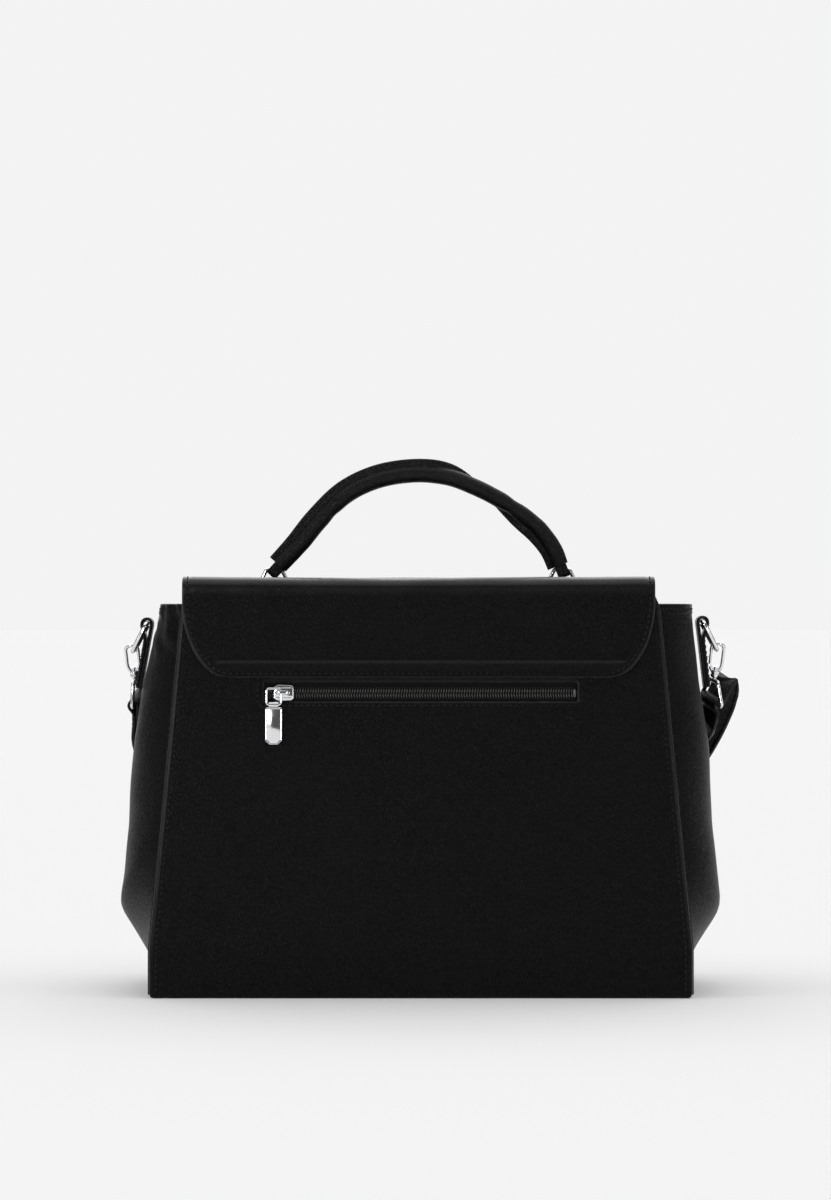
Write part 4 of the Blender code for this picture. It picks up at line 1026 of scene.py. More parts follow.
def flap_edge(x, y, z):
    """Distance from a point of the flap to its edge."""
    low, top, reach = flap_corner(y)
    side = FLAP_HALF_WIDTH - corner_cut(z, low, top, reach) - abs(x)
    part = min(max((FLAP_HALF_WIDTH - abs(x)) / reach, 0.0), 1.0)
    above = z - (top - math.sqrt(max(1 - (1 - part) ** 2, 0.0)) * (top - low))
    side = max(side, 0.0)
    above = max(above, 0.0)
    if z >= top:
        return side
    return side * above / max(math.hypot(side, above), 1e-9)


def flap_point(s, y, z, normal):
    """A point of the flap; s is its place across at full width."""
    low, top, reach = flap_corner(y)
    x = s * (1 - corner_cut(z, low, top, reach) / FLAP_HALF_WIDTH)
    edge = flap_edge(x, y, z)
    swell = 1.15 * sizes().ripple / MM * min(edge / 22.0, 1.0)
    swell *= rough(x, y, z, 62.0, 21.0) + 0.5 * rough(x, y, z, 27.0, 4.0)
    if y < 0 and z < FLAP_SHOULDER:
        swell = max(swell, -0.25)
        hem = min(max((HEM_HEIGHT - z) / 0.9 + 0.5, 0.0), 1.0)
        inside = min(max((119.0 - abs(x)) / 2.0, 0.0), 1.0) * min(edge / 1.5, 1.0)
        ridge = 0.55 * groove(z - HEM_HEIGHT + 0.6, 0.9) - 0.3 * groove(z - HEM_ROW, 0.6)
        swell += inside * (0.5 * hem + ridge)
    swell -= 0.3 * groove(edge - 3.0, 0.8)
    sag = 0.7 * (1 - (x / FLAP_HALF_WIDTH) ** 2) * groove(abs(y) - 46.0, 9.0)
    sag *= min(max((z - 226.0) / 8.0, 0.0), 1.0)
    return (x + FLAP_SHIFT, y + normal[0] * swell, z + normal[1] * swell - sag)


BACK_FOLD = ((0.0, -0.0535, 0.2240), (0.0, -0.0400, 0.2405))
FRONT_FOLD = ((0.0, 0.0410, 0.2405), (0.0, 0.0545, 0.2240))


def make_flap():
    """The flap as one sheet in two halves that meet on its stiff top."""
    rows, middle = flap_profile()
    run = np.array(rows)
    slope = np.gradient(run[:, 1:], axis=0)
    slope /= np.linalg.norm(slope, axis=1, keepdims=True)
    normals = np.column_stack([-slope[:, 1], slope[:, 0]])
    across = stations(-FLAP_HALF_WIDTH, FLAP_HALF_WIDTH, 3.0)
    points = [[flap_point(s, y, z, n) for s in across] for (_, y, z), n in zip(rows, normals)]
    length = run[-1, 0]
    edge = []
    for (p, y, z), row in zip(rows, points):
        edge.append([min(flap_edge(q[0] - FLAP_SHIFT, y, z), p, length - p) for q in row])
    seam = int(np.argmin(np.abs(run[:, 0] - middle)))
    # Painted highlight: the top fold and the ridge above the back hem are marked so that the leather's colour
    # is painted lighter there.
    painted_highlight = []
    for (_, y, z), row in zip(rows, points):
        fold = groove(abs(y) - 47.5, 7.5) * min(max((z - 231.0) / 5.0, 0.0), 1.0)
        ridge = 0.35 * groove(z - HEM_HEIGHT + 0.6, 0.8) * (y < 0)
        painted_highlight.append(
            [fold * (0.75 + 0.25 * rough(q[0], y, z, 24.0, 6.0)) + ridge * (abs(q[0]) < 117.0) for q in row]
        )
    halves = (
        ("flap_back_leather", slice(seam, None), ("bag", "flap_top"), BACK_FOLD, ["flap_back"]),
        (
            "flap_front_leather",
            slice(0, seam),
            ("flap_top", "flap_front"),
            FRONT_FOLD,
            ["flap_top", "flap_front"],
        ),
    )
    for name, left_out, bodies, fold, nodes in halves:
        skip = np.zeros((len(rows) - 1, len(across) - 1), dtype=bool)
        skip[left_out] = True
        piece = sheet_piece(name, "leather", None, points, FLAP_THICKNESS, edge, 1.15, skip, painted_highlight=painted_highlight)
        close_rim(piece)
        bend(piece, nodes)

    def sewn(inset, first, last):
        """Lines down both side edges and along the end of one half."""
        lines = []
        for side in (-1, 1):
            line = []
            for i in range(first, last):
                p, y, z = rows[i]
                low, top, reach = flap_corner(y)
                cut = corner_cut(z, low, top, reach)
                x = FLAP_HALF_WIDTH - cut
                for _ in range(12):
                    x -= (inset - flap_edge(x, y, z)) * 0.5
                if x < FLAP_HALF_WIDTH - reach - 2 or min(p, length - p) < inset:
                    continue
                n = normals[i]
                q = flap_point(side * x / (1 - cut / FLAP_HALF_WIDTH), y, z, n)
                line.append((q[0], q[1] + n[0] * 0.08, q[2] + n[1] * 0.08))
            lines.append(line)
        return lines

    def along(height, y_sign, reach):
        """A line across the flap at a height."""
        side = [r for r in rows if r[1] * y_sign > 0 and r[2] < FLAP_SHOULDER]
        best = min(side, key=lambda r: abs(r[2] - height))
        n = normals[rows.index(best)]
        low, top, corner = flap_corner(y_sign)
        cut = corner_cut(best[2], low, top, corner)
        line = []
        for x in np.arange(-reach, reach + 0.1, 2.5):
            q = flap_point(x / (1 - cut / FLAP_HALF_WIDTH), best[1], best[2], n)
            line.append((q[0], q[1] + n[0] * 0.08, q[2] + n[1] * 0.08))
        return line

    back_lines = sewn(3.0, 0, seam + 1) + [along(HEM_ROW, -1, 108.0)]
    front_lines = sewn(3.0, seam, len(rows)) + [along(FLAP_FRONT_EDGE + 3.0, 1, 97.0)]
    for label, lines, bodies, fold in (
        ("flap_back_seam", back_lines, ("bag", "flap_top"), BACK_FOLD),
        ("flap_front_seam", front_lines, ("flap_top", "flap_front"), FRONT_FOLD),
    ):
        for row in stitch_rows(label, lines, None):
            bend(row)


def close_rim(piece):
    """Close the cut where two halves of a sheet meet."""
    bm = bmesh.new()
    bm.from_mesh(piece.data)
    open_edges = [e for e in bm.edges if e.is_boundary]
    bmesh.ops.bridge_loops(bm, edges=open_edges)
    bm.to_mesh(piece.data)
    bm.free()


# Handle


def handle_stations():
    """Path of the handle with the direction of its lip and the middle of its roll at each point."""
    path = smooth_path([(x, 0.0, z) for x, z in HANDLE_PATH], 2.4)
    rows = []
    count = len(path)
    for i in range(count):
        along = i / (count - 1)
        tangent = Vector(path[min(i + 1, count - 1)] - path[max(i - 1, 0)]).normalized()
        outward = Vector((-tangent.z, 0.0, tangent.x))
        turn = math.pi * float(np.interp(along, (0.54, 0.86), (0.0, 1.0)))
        hint = outward * math.cos(turn) + Vector((0.0, 1.0, 0.0)) * math.sin(turn)
        offset = -float(np.interp(along, (0.0, 0.12, 0.88, 1.0), (1.0, 2.0, 2.0, 1.0)))
        lip = float(np.interp(along, (0.0, 0.12, 0.88, 1.0), (2.8, HANDLE_LIP, HANDLE_LIP, 2.8)))
        rows.append((Vector(path[i]), tangent, hint, offset, lip, along))
    return rows


def handle_profile(offset, lip, along):
    """Outline of the rolled handle with its sewn lip, as (across, up) pairs."""
    end = min(along, 1 - along)
    flat = float(np.interp(end, (0.0, 0.1, 0.2), (0.9, 0.96, 1.0)))
    crease = 0.28 * rough(along * 60, 0.0, 0.0, 2.2, 9.0) * float(
        np.interp(end, (0.0, 0.22, 0.3), (1.0, 1.0, 0.15))
    )
    # The roll's filling stops here, and the leather pinches over its end.
    pinch = 0.55 * groove(end - 0.215, 0.018)
    radius = HANDLE_ROLL + crease - pinch
    tip = offset + HANDLE_ROLL + lip
    half = 1.2
    points = [(tip - half + half * math.cos(a), half * math.sin(a)) for a in np.linspace(-1.57, 1.57, 7)]
    root = offset + radius * math.cos(0.42)
    points += [(tip - 2.4, half), (root + 1.0, half * 0.96), (root + 0.35, half * 1.05)]
    points += [
        (offset + radius * math.cos(a), radius * flat * math.sin(a)) for a in np.linspace(0.42, 5.863, 25)
    ]
    points += [(root + 0.35, -half * 1.05), (root + 1.0, -half * 0.96), (tip - 2.4, -half)]
    return points


def make_handle():
    """Rolled handle with its sewn lip, end loops, rings and the anchors sewn on the flap."""
    rows = handle_stations()
    cover = bmesh.new()
    path = [r[0] for r in rows]
    hints = [r[2] for r in rows]
    profiles = [handle_profile(r[3], r[4], r[5]) for r in rows]
    frames = sweep(cover, path, hints, profiles)
    add_piece(cover, "handle_rolled_leather", "strap_leather", "handle", ["handle_cover"], crisp=50.0)
    lines = []
    for face in (-1, 1):
        line = []
        for (point, side, up), row in zip(frames[1:-1], rows[1:-1]):
            line.append(point + side * (row[3] + HANDLE_ROLL + row[4] - 1.7) + up * face * 1.28)
        lines.append(line)
    stitch_rows("handle_seam", lines, "handle")

    for hand, x in RING_PLACES.items():
        ring = bmesh.new()
        corners = ((-8.0, RING_FOOT), (-4.4, RING_HEAD), (4.4, RING_HEAD), (8.0, RING_FOOT))
        loop = [(x + p.x, 0.0, p.y) for p in rounded_loop(corners, 1.9, 8)]
        wire(ring, loop, (0.0, 1.0, 0.0), 1.15)
        add_piece(ring, f"handle_ring_{hand}_wire", "chrome", f"handle_ring_{hand}", [f"handle_ring_{hand}"])

        anchor = bmesh.new()
        track = [(x, y, top_height(y) + ANCHOR_RISE) for y in (-15.6, -12.0, -8.0, -5.0)]
        track += [(x, -2.6, 238.2)]
        track += [(x, -2.25 * math.cos(a), RING_FOOT + 2.1 * math.sin(a)) for a in np.linspace(0.5, 2.64, 9)]
        track += [(x, 2.6, 238.2)] + [(x, y, top_height(y) + ANCHOR_RISE) for y in (5.0, 8.0, 12.0, 15.6)]
        strip(anchor, [tuple(p) for p in smooth_path(track, 1.2)], (1.0, 0.0, 0.0), 9.2, 1.5)
        add_piece(
            anchor, f"handle_anchor_{hand}_leather", "strap_leather", "flap_top", [f"handle_anchor_{hand}"],
        )
        lines = []
        for face in (-1, 1):
            square = [(-3.3, 5.6), (-3.3, 14.2), (3.3, 14.2), (3.3, 5.6), (-3.3, 5.6)]
            lines.append([(x + a, face * b, top_height(b) + ANCHOR_RISE + 0.8) for a, b in square])
        stitch_rows(f"handle_anchor_{hand}_box", lines, "flap_top")

        end, inside = (0, 3) if hand == "left" else (-1, -4)
        tangent = (rows[inside][0] - rows[end][0]).normalized()
        mouth = rows[end][0] - rows[end][2]
        width = tangent.cross(Vector((0.0, 1.0, 0.0)))
        drop = (RING_HEAD - mouth.z) / tangent.z - 2.9
        arc = np.linspace(0.0, math.pi, 11)
        track = [(-2.05, 8.0), (-2.05, 4.0), (-2.05, drop + 1.0)]
        track += [(-2.05 * math.cos(a), drop - 1.5 * math.sin(a)) for a in arc]
        track += [(2.05, drop + 1.0), (2.05, 4.0), (2.05, 8.0)]
        loop = bmesh.new()
        strip(loop, [mouth + Vector((0.0, a, 0.0)) + tangent * b for a, b in track], width, 7.0, 1.2)
        add_piece(loop, f"handle_loop_{hand}_leather", "strap_leather", "handle", [f"handle_loop_{hand}"])


# Zip


def zip_frame():
    """Axes on the back panel at the zip: x along it, y into the bag, z up the panel."""
    place = Matrix.Translation((0.0, -half_depth(ZIP_HEIGHT), ZIP_HEIGHT))
    return place @ Matrix.Rotation(-math.atan(PANEL_LEAN), 4, "X")


def make_zip():
    """Tapes, coil, stop, slider, bail and puller of the back pocket's zip."""
    seat = zip_frame()

    def local(x, y, z):
        return tuple(seat @ Vector((x, y, z)))

    s = sizes()
    for name, sign, start in (("lower", -1, s.tooth_pitch / 2), ("upper", 1, 0.0)):
        across = stations(-93.0, 93.0, 4.0, fine=(0.0, 0.2, 0.4))
        levels = [sign * v for v in stations(0.7, 9.6, 0.9, fine=(0.0, 0.1, 0.3))]
        levels.sort()
        points = [[local(x, 2.62 - 0.22 * groove(abs(z) - 4.2, 0.5), z) for x in across] for z in levels]
        sheet_piece(f"zip_tape_{name}_cloth", "tape", "bag", points, 0.55, grid_edges(points), 0.3,
                    replaces=[f"zip_tape_{name}"])
        line = [[local(-88.8, 1.75, sign * 1.35), local(86.9, 1.75, sign * 1.35)]]
        turn = (-math.atan(PANEL_LEAN), sign * COIL_SLANT, 0.0)
        row_piece(
            f"zip_coil_{name}_teeth", line, "coil", "bag", s.tooth_pitch, start, s.tooth_length, s.tooth_radius,
            turn, False, [f"zip_coil_{name}"],
        )
        line = [[local(-88.8, 1.9, sign * 3.15), local(86.9, 1.9, sign * 3.15)]]
        row_piece(f"zip_coil_{name}_sewing", line, "thread", "bag", 0.0021, 0.0, 0.0019, 0.00026)

    stop = bmesh.new()
    outline = rounded_loop(((87.8, -2.5), (89.2, -2.5), (89.2, 2.5), (87.8, 2.5)), 0.5, 4)
    rounded_prism(stop, outline, 0.9, 2.8, 0.35, local_prism(seat))
    add_piece(stop, "zip_stop_moulded", "coil", "bag", ["zip_end_stop"])

    left = SLIDER_X - SLIDER_LENGTH / 2
    right = SLIDER_X + SLIDER_LENGTH / 2
    body = bmesh.new()
    outline = ((left, -3.4), (left + 2.6, -4.7), (right - 1.6, -4.4), (right, -3.6))
    outline += tuple((x, -z) for x, z in outline[::-1])
    plate = [tuple(p) for p in rounded_loop(outline, 0.8, 4)]
    rounded_prism(body, plate, -1.6, 0.5, 0.5, local_prism(seat))
    rounded_prism(body, plate, 3.7, 4.8, 0.3, local_prism(seat))
    post = [
        tuple(p)
        for p in rounded_loop(
            ((left + 1, -0.5), (left + 4.4, -0.3), (left + 4.4, 0.3), (left + 1, 0.5)), 0.2, 3,
        )
    ]
    rounded_prism(body, post, -0.4, 4.0, 0.1, local_prism(seat))
    near = left + 1.6
    far = right - 2.9
    arch = [(near, -1.2), (near, -2.6), (near + 0.25, -3.5), (near + 1.0, -4.1), (near + 2.2, -4.25)]
    arch += [(far - 2.2, -4.25), (far - 1.0, -4.1), (far - 0.25, -3.5), (far, -2.6), (far, -1.2)]
    smooth = smooth_path([(x, y, 0.0) for x, y in arch], 0.5)
    strip(body, [Vector(local(*p)) for p in smooth], seat.to_3x3() @ Vector((0.0, 0.0, 1.0)), 2.3, 1.0)
    for z in (-3.0, 3.0):
        rail = [Vector(local(left + 1.6, -1.55, z * 0.92)), Vector(local(right - 1.2, -1.55, z))]
        strip(body, rail, (0.0, 0.0, 1.0), 0.8, 0.5)
    add_piece(body, "zip_slider_cast", "chrome", "zip_slider", ["zip_slider"], crisp=35.0)

    bail = bmesh.new()
    corners = ((BAIL_AXIS_X - 8.4, 2.3), (BAIL_AXIS_X, 2.3), (BAIL_AXIS_X, -6.9), (BAIL_AXIS_X - 8.4, -6.9))
    loop = [Vector(local(p.x, -BAIL_DEPTH, p.y)) for p in rounded_loop(corners, 1.6, 7)]
    wire(bail, loop, seat.to_3x3() @ Vector((0.0, 1.0, 0.0)), 0.75)
    add_piece(bail, "puller_bail_wire", "chrome", "puller_bail", ["puller_bail"])

    tab = bmesh.new()
    middle = BAIL_AXIS_X - 4.2
    foot = -29.9
    half = 4.8
    corners = (
        (-half, -8.4),
        (-half, foot + 2.4),
        (-half + 2.4, foot),
        (half - 2.4, foot),
        (half, foot + 2.4),
        (half, -8.4),
    )
    outline = [(middle + p[0], p[1]) for p in rounded_loop(corners, 0.9, 4)]
    rounded_prism(tab, outline, -BAIL_DEPTH - 0.55, -BAIL_DEPTH + 0.55, 0.2, local_prism(seat))
    inner = tuple((x * 0.9, -9.0 if z > -9 else z + (0.55 if z < foot + 1 else 0.2)) for x, z in corners)
    rim = [Vector(local(middle + p[0], -BAIL_DEPTH, p[1])) for p in rounded_loop(inner, 0.8, 4)]
    sweep(
        tab,
        rim,
        [seat.to_3x3() @ Vector((0.0, 1.0, 0.0))] * len(rim),
        [band(1.8, 1.1, 0.42)] * len(rim),
        closed=True,
    )
    knuckle = [Vector(local(middle + a, -BAIL_DEPTH, -6.9)) for a in (-2.7, 2.7)]
    hint = [Vector((0.0, 1.0, 0.0))] * 2
    sweep(tab, knuckle, hint, [circle(1.75, 20)] * 2, bore=[circle(0.95, 20)] * 2)
    add_piece(tab, "puller_tab_cast", "chrome", "puller_tab", ["puller_tab"], crisp=35.0)


def local_prism(seat):
    """Place for a prism whose outline lies in a frame's x and z and whose depth is its y."""
    return lambda a, b, c: seat @ Vector((a, c, b))


# Side fittings and the shoulder strap


def hook_frame(side):
    """Axes of a snap hook: its ring at the origin, the hook hanging down -Z, its outer side +X."""
    places = SIDES[side]
    swing = Vector((side * math.sin(RING_SWING), 0.0, -math.cos(RING_SWING)))
    apex = Vector(places["loop"]) + swing * RING_DROP
    mirror = Matrix.Identity(4) if side > 0 else Matrix.Rotation(math.pi, 4, "Z")
    turn = Matrix.Rotation(math.radians(places["hook_tilt"]), 4, "X")
    turn = turn @ Matrix.Rotation(side * math.radians(places["hook_lean"]), 4, "Y") @ mirror
    return Matrix.Translation(apex) @ turn


def eye_frame(side):
    """Axes of the eye that holds the strap, below a snap hook."""
    yaw = Matrix.Rotation(side * math.radians(SIDES[side]["eye_yaw"]), 4, "Z")
    return hook_frame(side) @ Matrix.Translation((HOOK_MIDDLE, 0.0, 0.0)) @ yaw


def eye_bar(side):
    """An eye's axes, the middle of its bar, and the direction of the strap's width on it."""
    seat = eye_frame(side)
    return seat, seat @ Vector((0.0, 0.0, -EYE_BAR)), seat.to_3x3() @ Vector((0.0, float(side), 0.0))


def make_side_fittings():
    """Tab, D ring, snap hook with its gate, and strap eye on each gusset."""
    for side, hand in ((-1, "left"), (1, "right")):
        places = SIDES[side]
        loop = Vector(places["loop"])
        spin = Matrix.Identity(4) if side > 0 else Matrix.Rotation(math.pi, 4, "Z")
        seat = Matrix.Translation(loop) @ Matrix.Rotation(
            -side * math.radians(places["tab_lean"]), 4, "Y",
        ) @ spin
        arc = np.linspace(math.pi, 0.0, 15)
        track = [(-2.75, -38.2), (-2.75, -30.0), (-2.75, -18.0), (-2.75, -8.0), (-2.8, -3.0)]
        track += [(2.8 * math.cos(a), 2.8 * math.sin(a)) for a in arc]
        track += [
            (2.6, -2.0),
            (1.5, -4.6),
            (0.2, -7.2),
            (-0.7, -10.0),
            (-0.95, -16.0),
            (-0.95, -28.0),
            (-0.95, -38.2),
        ]
        smooth = smooth_path([(x, 0.0, z) for x, z in track], 1.3)
        tab = bmesh.new()
        strip(tab, [seat @ Vector(p) for p in smooth], (0.0, 1.0, 0.0), 17.2, 1.75)
        add_piece(tab, f"side_tab_{hand}_leather", "strap_leather", "bag", [f"side_tab_{hand}"])
        frame_line = ((6.6, -11.0), (6.6, -36.4), (-6.6, -36.4), (-6.6, -11.0), (6.6, -11.0))
        line = []
        for (y0, z0), (y1, z1) in zip(frame_line, frame_line[1:]):
            for t in np.linspace(0, 1, 6)[:-1]:
                line.append(seat @ Vector((-0.02, y0 + (y1 - y0) * t, z0 + (z1 - z0) * t)))
        stitch_rows(f"side_tab_{hand}_box", [line], "bag")

        ring_seat = Matrix.Translation(loop) @ Matrix.Rotation(-side * RING_SWING, 4, "Y") @ spin
        arc = [
            (RING_HALF * math.cos(a), -6.0 - (RING_DROP - 6.0) * math.sin(a))
            for a in np.linspace(0, math.pi, 25)
        ]
        path = [(RING_HALF, -2.0), (RING_HALF, -4.0)] + arc + [(-RING_HALF, -4.0), (-RING_HALF, -2.0)]
        path += [(-RING_HALF + 2 - 2 * math.cos(a), -2 + 2 * math.sin(a)) for a in np.linspace(0.3, 1.57, 5)]
        path += [(RING_HALF - 2 + 2 * math.cos(a), -2 + 2 * math.sin(a)) for a in np.linspace(1.57, 0.3, 5)]
        ring = bmesh.new()
        wire(
            ring,
            [ring_seat @ Vector((0.0, y, z)) for y, z in path],
            ring_seat.to_3x3() @ Vector((1.0, 0.0, 0.0)),
            1.5,
        )
        add_piece(ring, f"side_ring_{hand}_wire", "chrome", f"side_ring_{hand}", [f"side_ring_{hand}"])

        seat = hook_frame(side)
        m = HOOK_MIDDLE
        r = HOOK_REACH
        hook = bmesh.new()
        path = [(m - r, -1.6)]
        path += [(m - r * math.cos(a), 1.0 + r * math.sin(a) * 0.85) for a in np.linspace(0, math.pi, 21)]
        path += [(m + r, -3.0), (m + r, -7.0)]
        path += [
            (m + r * math.cos(a), -7.5 - 6.0 * math.sin(a)) for a in np.linspace(0.1, math.pi - 0.45, 17)
        ]
        path += [(m - r, -10.0)]
        wire(
            hook,
            [seat @ Vector((x, 0.0, z)) for x, z in path],
            seat.to_3x3() @ Vector((0.0, 1.0, 0.0)),
            1.05,
            False,
        )
        collar = [
            (1.3, -11.9),
            (2.1, -12.2),
            (2.6, -12.8),
            (2.6, -13.9),
            (2.25, -14.2),
            (2.25, -14.6),
            (2.6, -14.9),
        ]
        collar += [(2.6, -16.2), (2.2, -16.8), (1.3, -17.0)]
        lathe(hook, collar, seat @ Matrix.Translation((m, 0.0, 0.0)))
        add_piece(hook, f"snap_hook_{hand}_cast", "chrome", f"snap_hook_{hand}", [f"snap_hook_{hand}"])
        gate = bmesh.new()
        lathe(gate, turned(0.9, -8.8, -1.9, 0.35), seat @ Matrix.Translation((m - r, 0.0, 0.0)), 18)
        knob = seat @ Matrix.Translation((m - r - 0.8, 0.0, -4.4)) @ Matrix.Rotation(-1.57, 4, "Y")
        lathe(gate, turned(0.45, -0.3, 2.2, 0.15), knob, 12)
        add_piece(gate, f"hook_gate_{hand}_bar", "chrome", f"hook_gate_{hand}", [f"hook_gate_{hand}"])

        seat = eye_frame(side)
        eye = bmesh.new()
        corners = ((-4.5, -19.0), (4.5, -19.0), (11.7, -EYE_BAR), (-11.7, -EYE_BAR))
        loop = [seat @ Vector((0.0, p.x, p.y)) for p in rounded_loop(corners, 1.7, 8)]
        wire(eye, loop, seat.to_3x3() @ Vector((1.0, 0.0, 0.0)), 1.25)
        pin = [
            (0.9, -10.0),
            (1.5, -10.3),
            (1.5, -11.1),
            (1.15, -11.3),
            (1.15, -18.0),
            (1.6, -19.2),
            (0.6, -19.8),
        ]
        lathe(eye, pin, seat, 20)
        add_piece(eye, f"strap_eye_{hand}_wire", "chrome", f"strap_eye_{hand}", [f"strap_eye_{hand}"])


def strap_route():
    """Middle line of the shoulder strap from the right eye to the left, with the direction of its width."""
    right_eye, first, right_bar = eye_bar(1)
    left_eye, last, left_bar = eye_bar(-1)
    curl = (-0.44, 0.85, 0.28)
    return [
        (*(right_eye @ Vector((2.9, 0.0, 2.8 - EYE_BAR))), *right_bar),
        (*(right_eye @ Vector((5.6, 0.0, 8.6 - EYE_BAR))), *right_bar),
        (first.x + 8.6, first.y + 4.0, first.z + 13.6, *curl),
        (first.x + 11.2, first.y + 8.5, first.z + 10.0, *curl),
        (first.x + 10.4, first.y + 13.5, first.z + 2.0, *curl),
        (first.x + 6.6, first.y + 20.5, first.z - 9.0, -0.4, 0.75, 0.5),
        (first.x - 0.5, first.y + 32.0, first.z - 25.0, -0.3, 0.7, 0.65),
        (160.0, 64.0, 122.0, -0.1, 0.8, 0.6),
        (154.0, 78.0, 92.0, 0.0, 1.0, 0.3),
        (152.0, 83.0, 58.0, 0.0, 1.0, 0.1),
        (149.0, 85.0, 30.0, 0.0, 1.0, 0.1),
        (136.0, 88.0, 13.5, 0.0, 0.9, 0.4),
        (112.0, 96.0, 9.8, 0.0, 0.3, 1.0),
        (84.0, 124.0, 9.6, 0.0, 0.0, 1.0),
        (60.0, 154.0, 9.6, 0.0, 0.0, 1.0),
        (30.0, 158.0, 9.6, 0.0, 0.0, 1.0),
        (12.0, 132.0, 9.6, 0.0, 0.0, 1.0),
        (2.0, 100.0, 9.6, 0.0, 0.0, 1.0),
        (-16.0, 84.0, 9.6, 0.0, 0.0, 1.0),
        (-38.0, 96.0, 9.6, 0.0, 0.0, 1.0),
        (-52.0, 126.0, 9.6, 0.0, 0.0, 1.0),
        (-74.0, 150.0, 9.6, 0.0, 0.0, 1.0),
        (-102.0, 142.0, 9.6, 0.0, 0.1, 1.0),
        (-122.0, 114.0, 10.0, 0.0, 0.3, 1.0),
        (-140.0, 92.0, 16.0, 0.0, 0.9, 0.4),
        (-149.0, 84.0, 34.0, 0.0, 1.0, 0.1),
        (-152.0, 81.0, 62.0, 0.0, 1.0, -0.1),
        (-156.0, 74.0, 90.0, 0.0, 0.9, -0.2),
        (-159.0, 57.0, 113.0, 0.3, 0.85, -0.3),
        (-162.0, 39.0, 131.0, 0.4, 0.85, -0.3),
        (last.x + 0.3, last.y + 12.0, last.z - 21.0, 0.3, 0.85, -0.25),
        (*(left_eye @ Vector((1.0, -0.6, -11.5 - EYE_BAR))), *left_bar),
        (*(left_eye @ Vector((0.2, 0.0, -5.3 - EYE_BAR))), *left_bar),
    ]


def strap_part(name, rows, body=None, replaces=()):
    """A length of strap along rows of points and width directions, and its stitches."""
    bm = bmesh.new()
    outline = band(STRAP_WIDTH, STRAP_THICKNESS, 0.9, 4)
    frames = sweep(bm, [row[:3] for row in rows], [row[3:] for row in rows], [outline] * len(rows))
    piece = add_piece(bm, name, "strap_leather", body, replaces)
    lines = []
    for edge in (-1, 1):
        for face in (-1, 1):
            lines.append([p + a * edge * 7.2 + u * face * (STRAP_THICKNESS / 2 + 0.05) for p, a, u in frames])
    s = sizes()
    sewn = row_piece(
        name + "_stitches", lines, "thread", body, s.stitch_pitch, 0.0, s.stitch_length, s.thread_radius,
    )
    return piece, sewn


def make_strap():
    """The shoulder strap with its leads at both eyes, its tail and its slide."""
    route = smooth_path(strap_route(), 4.0, 2.0)
    steps = np.linalg.norm(np.diff(route[:, :3], axis=0), axis=1)
    run = np.concatenate([[0.0], np.cumsum(steps)])
    first = int(np.searchsorted(run, STRAP_LEAD))
    last = int(np.searchsorted(run, run[-1] - STRAP_LEAD))
    main, main_sewn = strap_part("shoulder_strap_leather", route[first : last + 1], "bag", ["shoulder_strap"])
    parts = [main_sewn]
    for hand, rows, near, far in (
        ("right", route[: first + 1], route[0], route[first]),
        ("left", route[last:], route[-1], route[last]),
    ):
        for piece in strap_part(f"strap_lead_{hand}", rows):
            bend(piece)
            parts.append(piece)
    right_eye, anchor, bar = eye_bar(1)
    tail = [
        (*(right_eye @ Vector((-0.3, 0.0, -4.7 - EYE_BAR))), *bar),
        (*(right_eye @ Vector((-0.9, 0.3, -9.5 - EYE_BAR))), *bar),
        (anchor.x - 4.4, anchor.y + 15.0, anchor.z - 16.0, -0.35, 0.8, 0.3),
        (anchor.x - 8.0, anchor.y + 27.0, anchor.z - 29.0, -0.3, 0.75, 0.5),
        (153.0, 62.0, 121.0, -0.1, 0.85, 0.5),
        (149.0, 74.5, 97.0, 0.0, 1.0, 0.3),
    ]
    rows = smooth_path(tail, 3.5, 2.0)
    cut = 7
    parts += strap_part("strap_tail_leather", rows[cut:], "bag", ["strap_tail"])
    for piece in strap_part("strap_tail_lead", rows[: cut + 1]):
        bend(piece)
        parts.append(piece)

    wraps = {
        "right": [
            (-0.3, -4.9),
            (-0.9, -3.6),
            (-2.2, -2.0),
            (-2.85, 0.0),
            (-2.1, 2.0),
            (-0.4, 2.9),
            (1.4, 2.75),
            (2.9, 2.8),
        ],
        "left": [
            (0.3, -5.6),
            (1.3, -3.4),
            (2.6, -1.4),
            (2.8, 0.4),
            (1.7, 2.3),
            (0.0, 2.85),
            (-1.7, 2.3),
            (-2.8, 0.4),
            (-2.6, -1.6),
            (-1.9, -4.6),
            (-1.6, -8.0),
        ],
    }
    for side, hand in ((1, "right"), (-1, "left")):
        seat = eye_frame(side)
        track = smooth_path([(x, 0.0, z - EYE_BAR) for x, z in wraps[hand]], 0.9)
        wrap = bmesh.new()
        strip(
            wrap,
            [seat @ Vector(p) for p in track],
            seat.to_3x3() @ Vector((0.0, 1.0, 0.0)),
            STRAP_WIDTH,
            2.2,
        )
        parts.append(
            add_piece(wrap, f"strap_wrap_{hand}", "strap_leather", f"strap_eye_{hand}", [f"strap_end_{hand}"])
        )

    place = smooth_path(strap_route()[8:10], 100.0)
    along = (Vector(place[-1][:3]) - Vector(place[0][:3])).normalized()
    across = Vector((0.0, 1.0, 0.3))
    across = (across - across.dot(along) * along).normalized()
    up = along.cross(across)
    centre = Vector(place[0][:3]).lerp(Vector(place[-1][:3]), 0.35)
    corners = ((-11.0, -3.6), (11.0, -3.6), (11.0, 3.6), (-11.0, 3.6))
    slide = bmesh.new()
    wire(slide, [centre + across * p.x + up * p.y for p in rounded_loop(corners, 2.0, 6)], along, 1.25)
    wire(slide, [centre + across * 10.6 * t for t in (-1, 1)], along, 1.0, closed=False)
    parts.append(add_piece(slide, "strap_slide_wire", "chrome", "bag", ["strap_slide"]))


# Inside


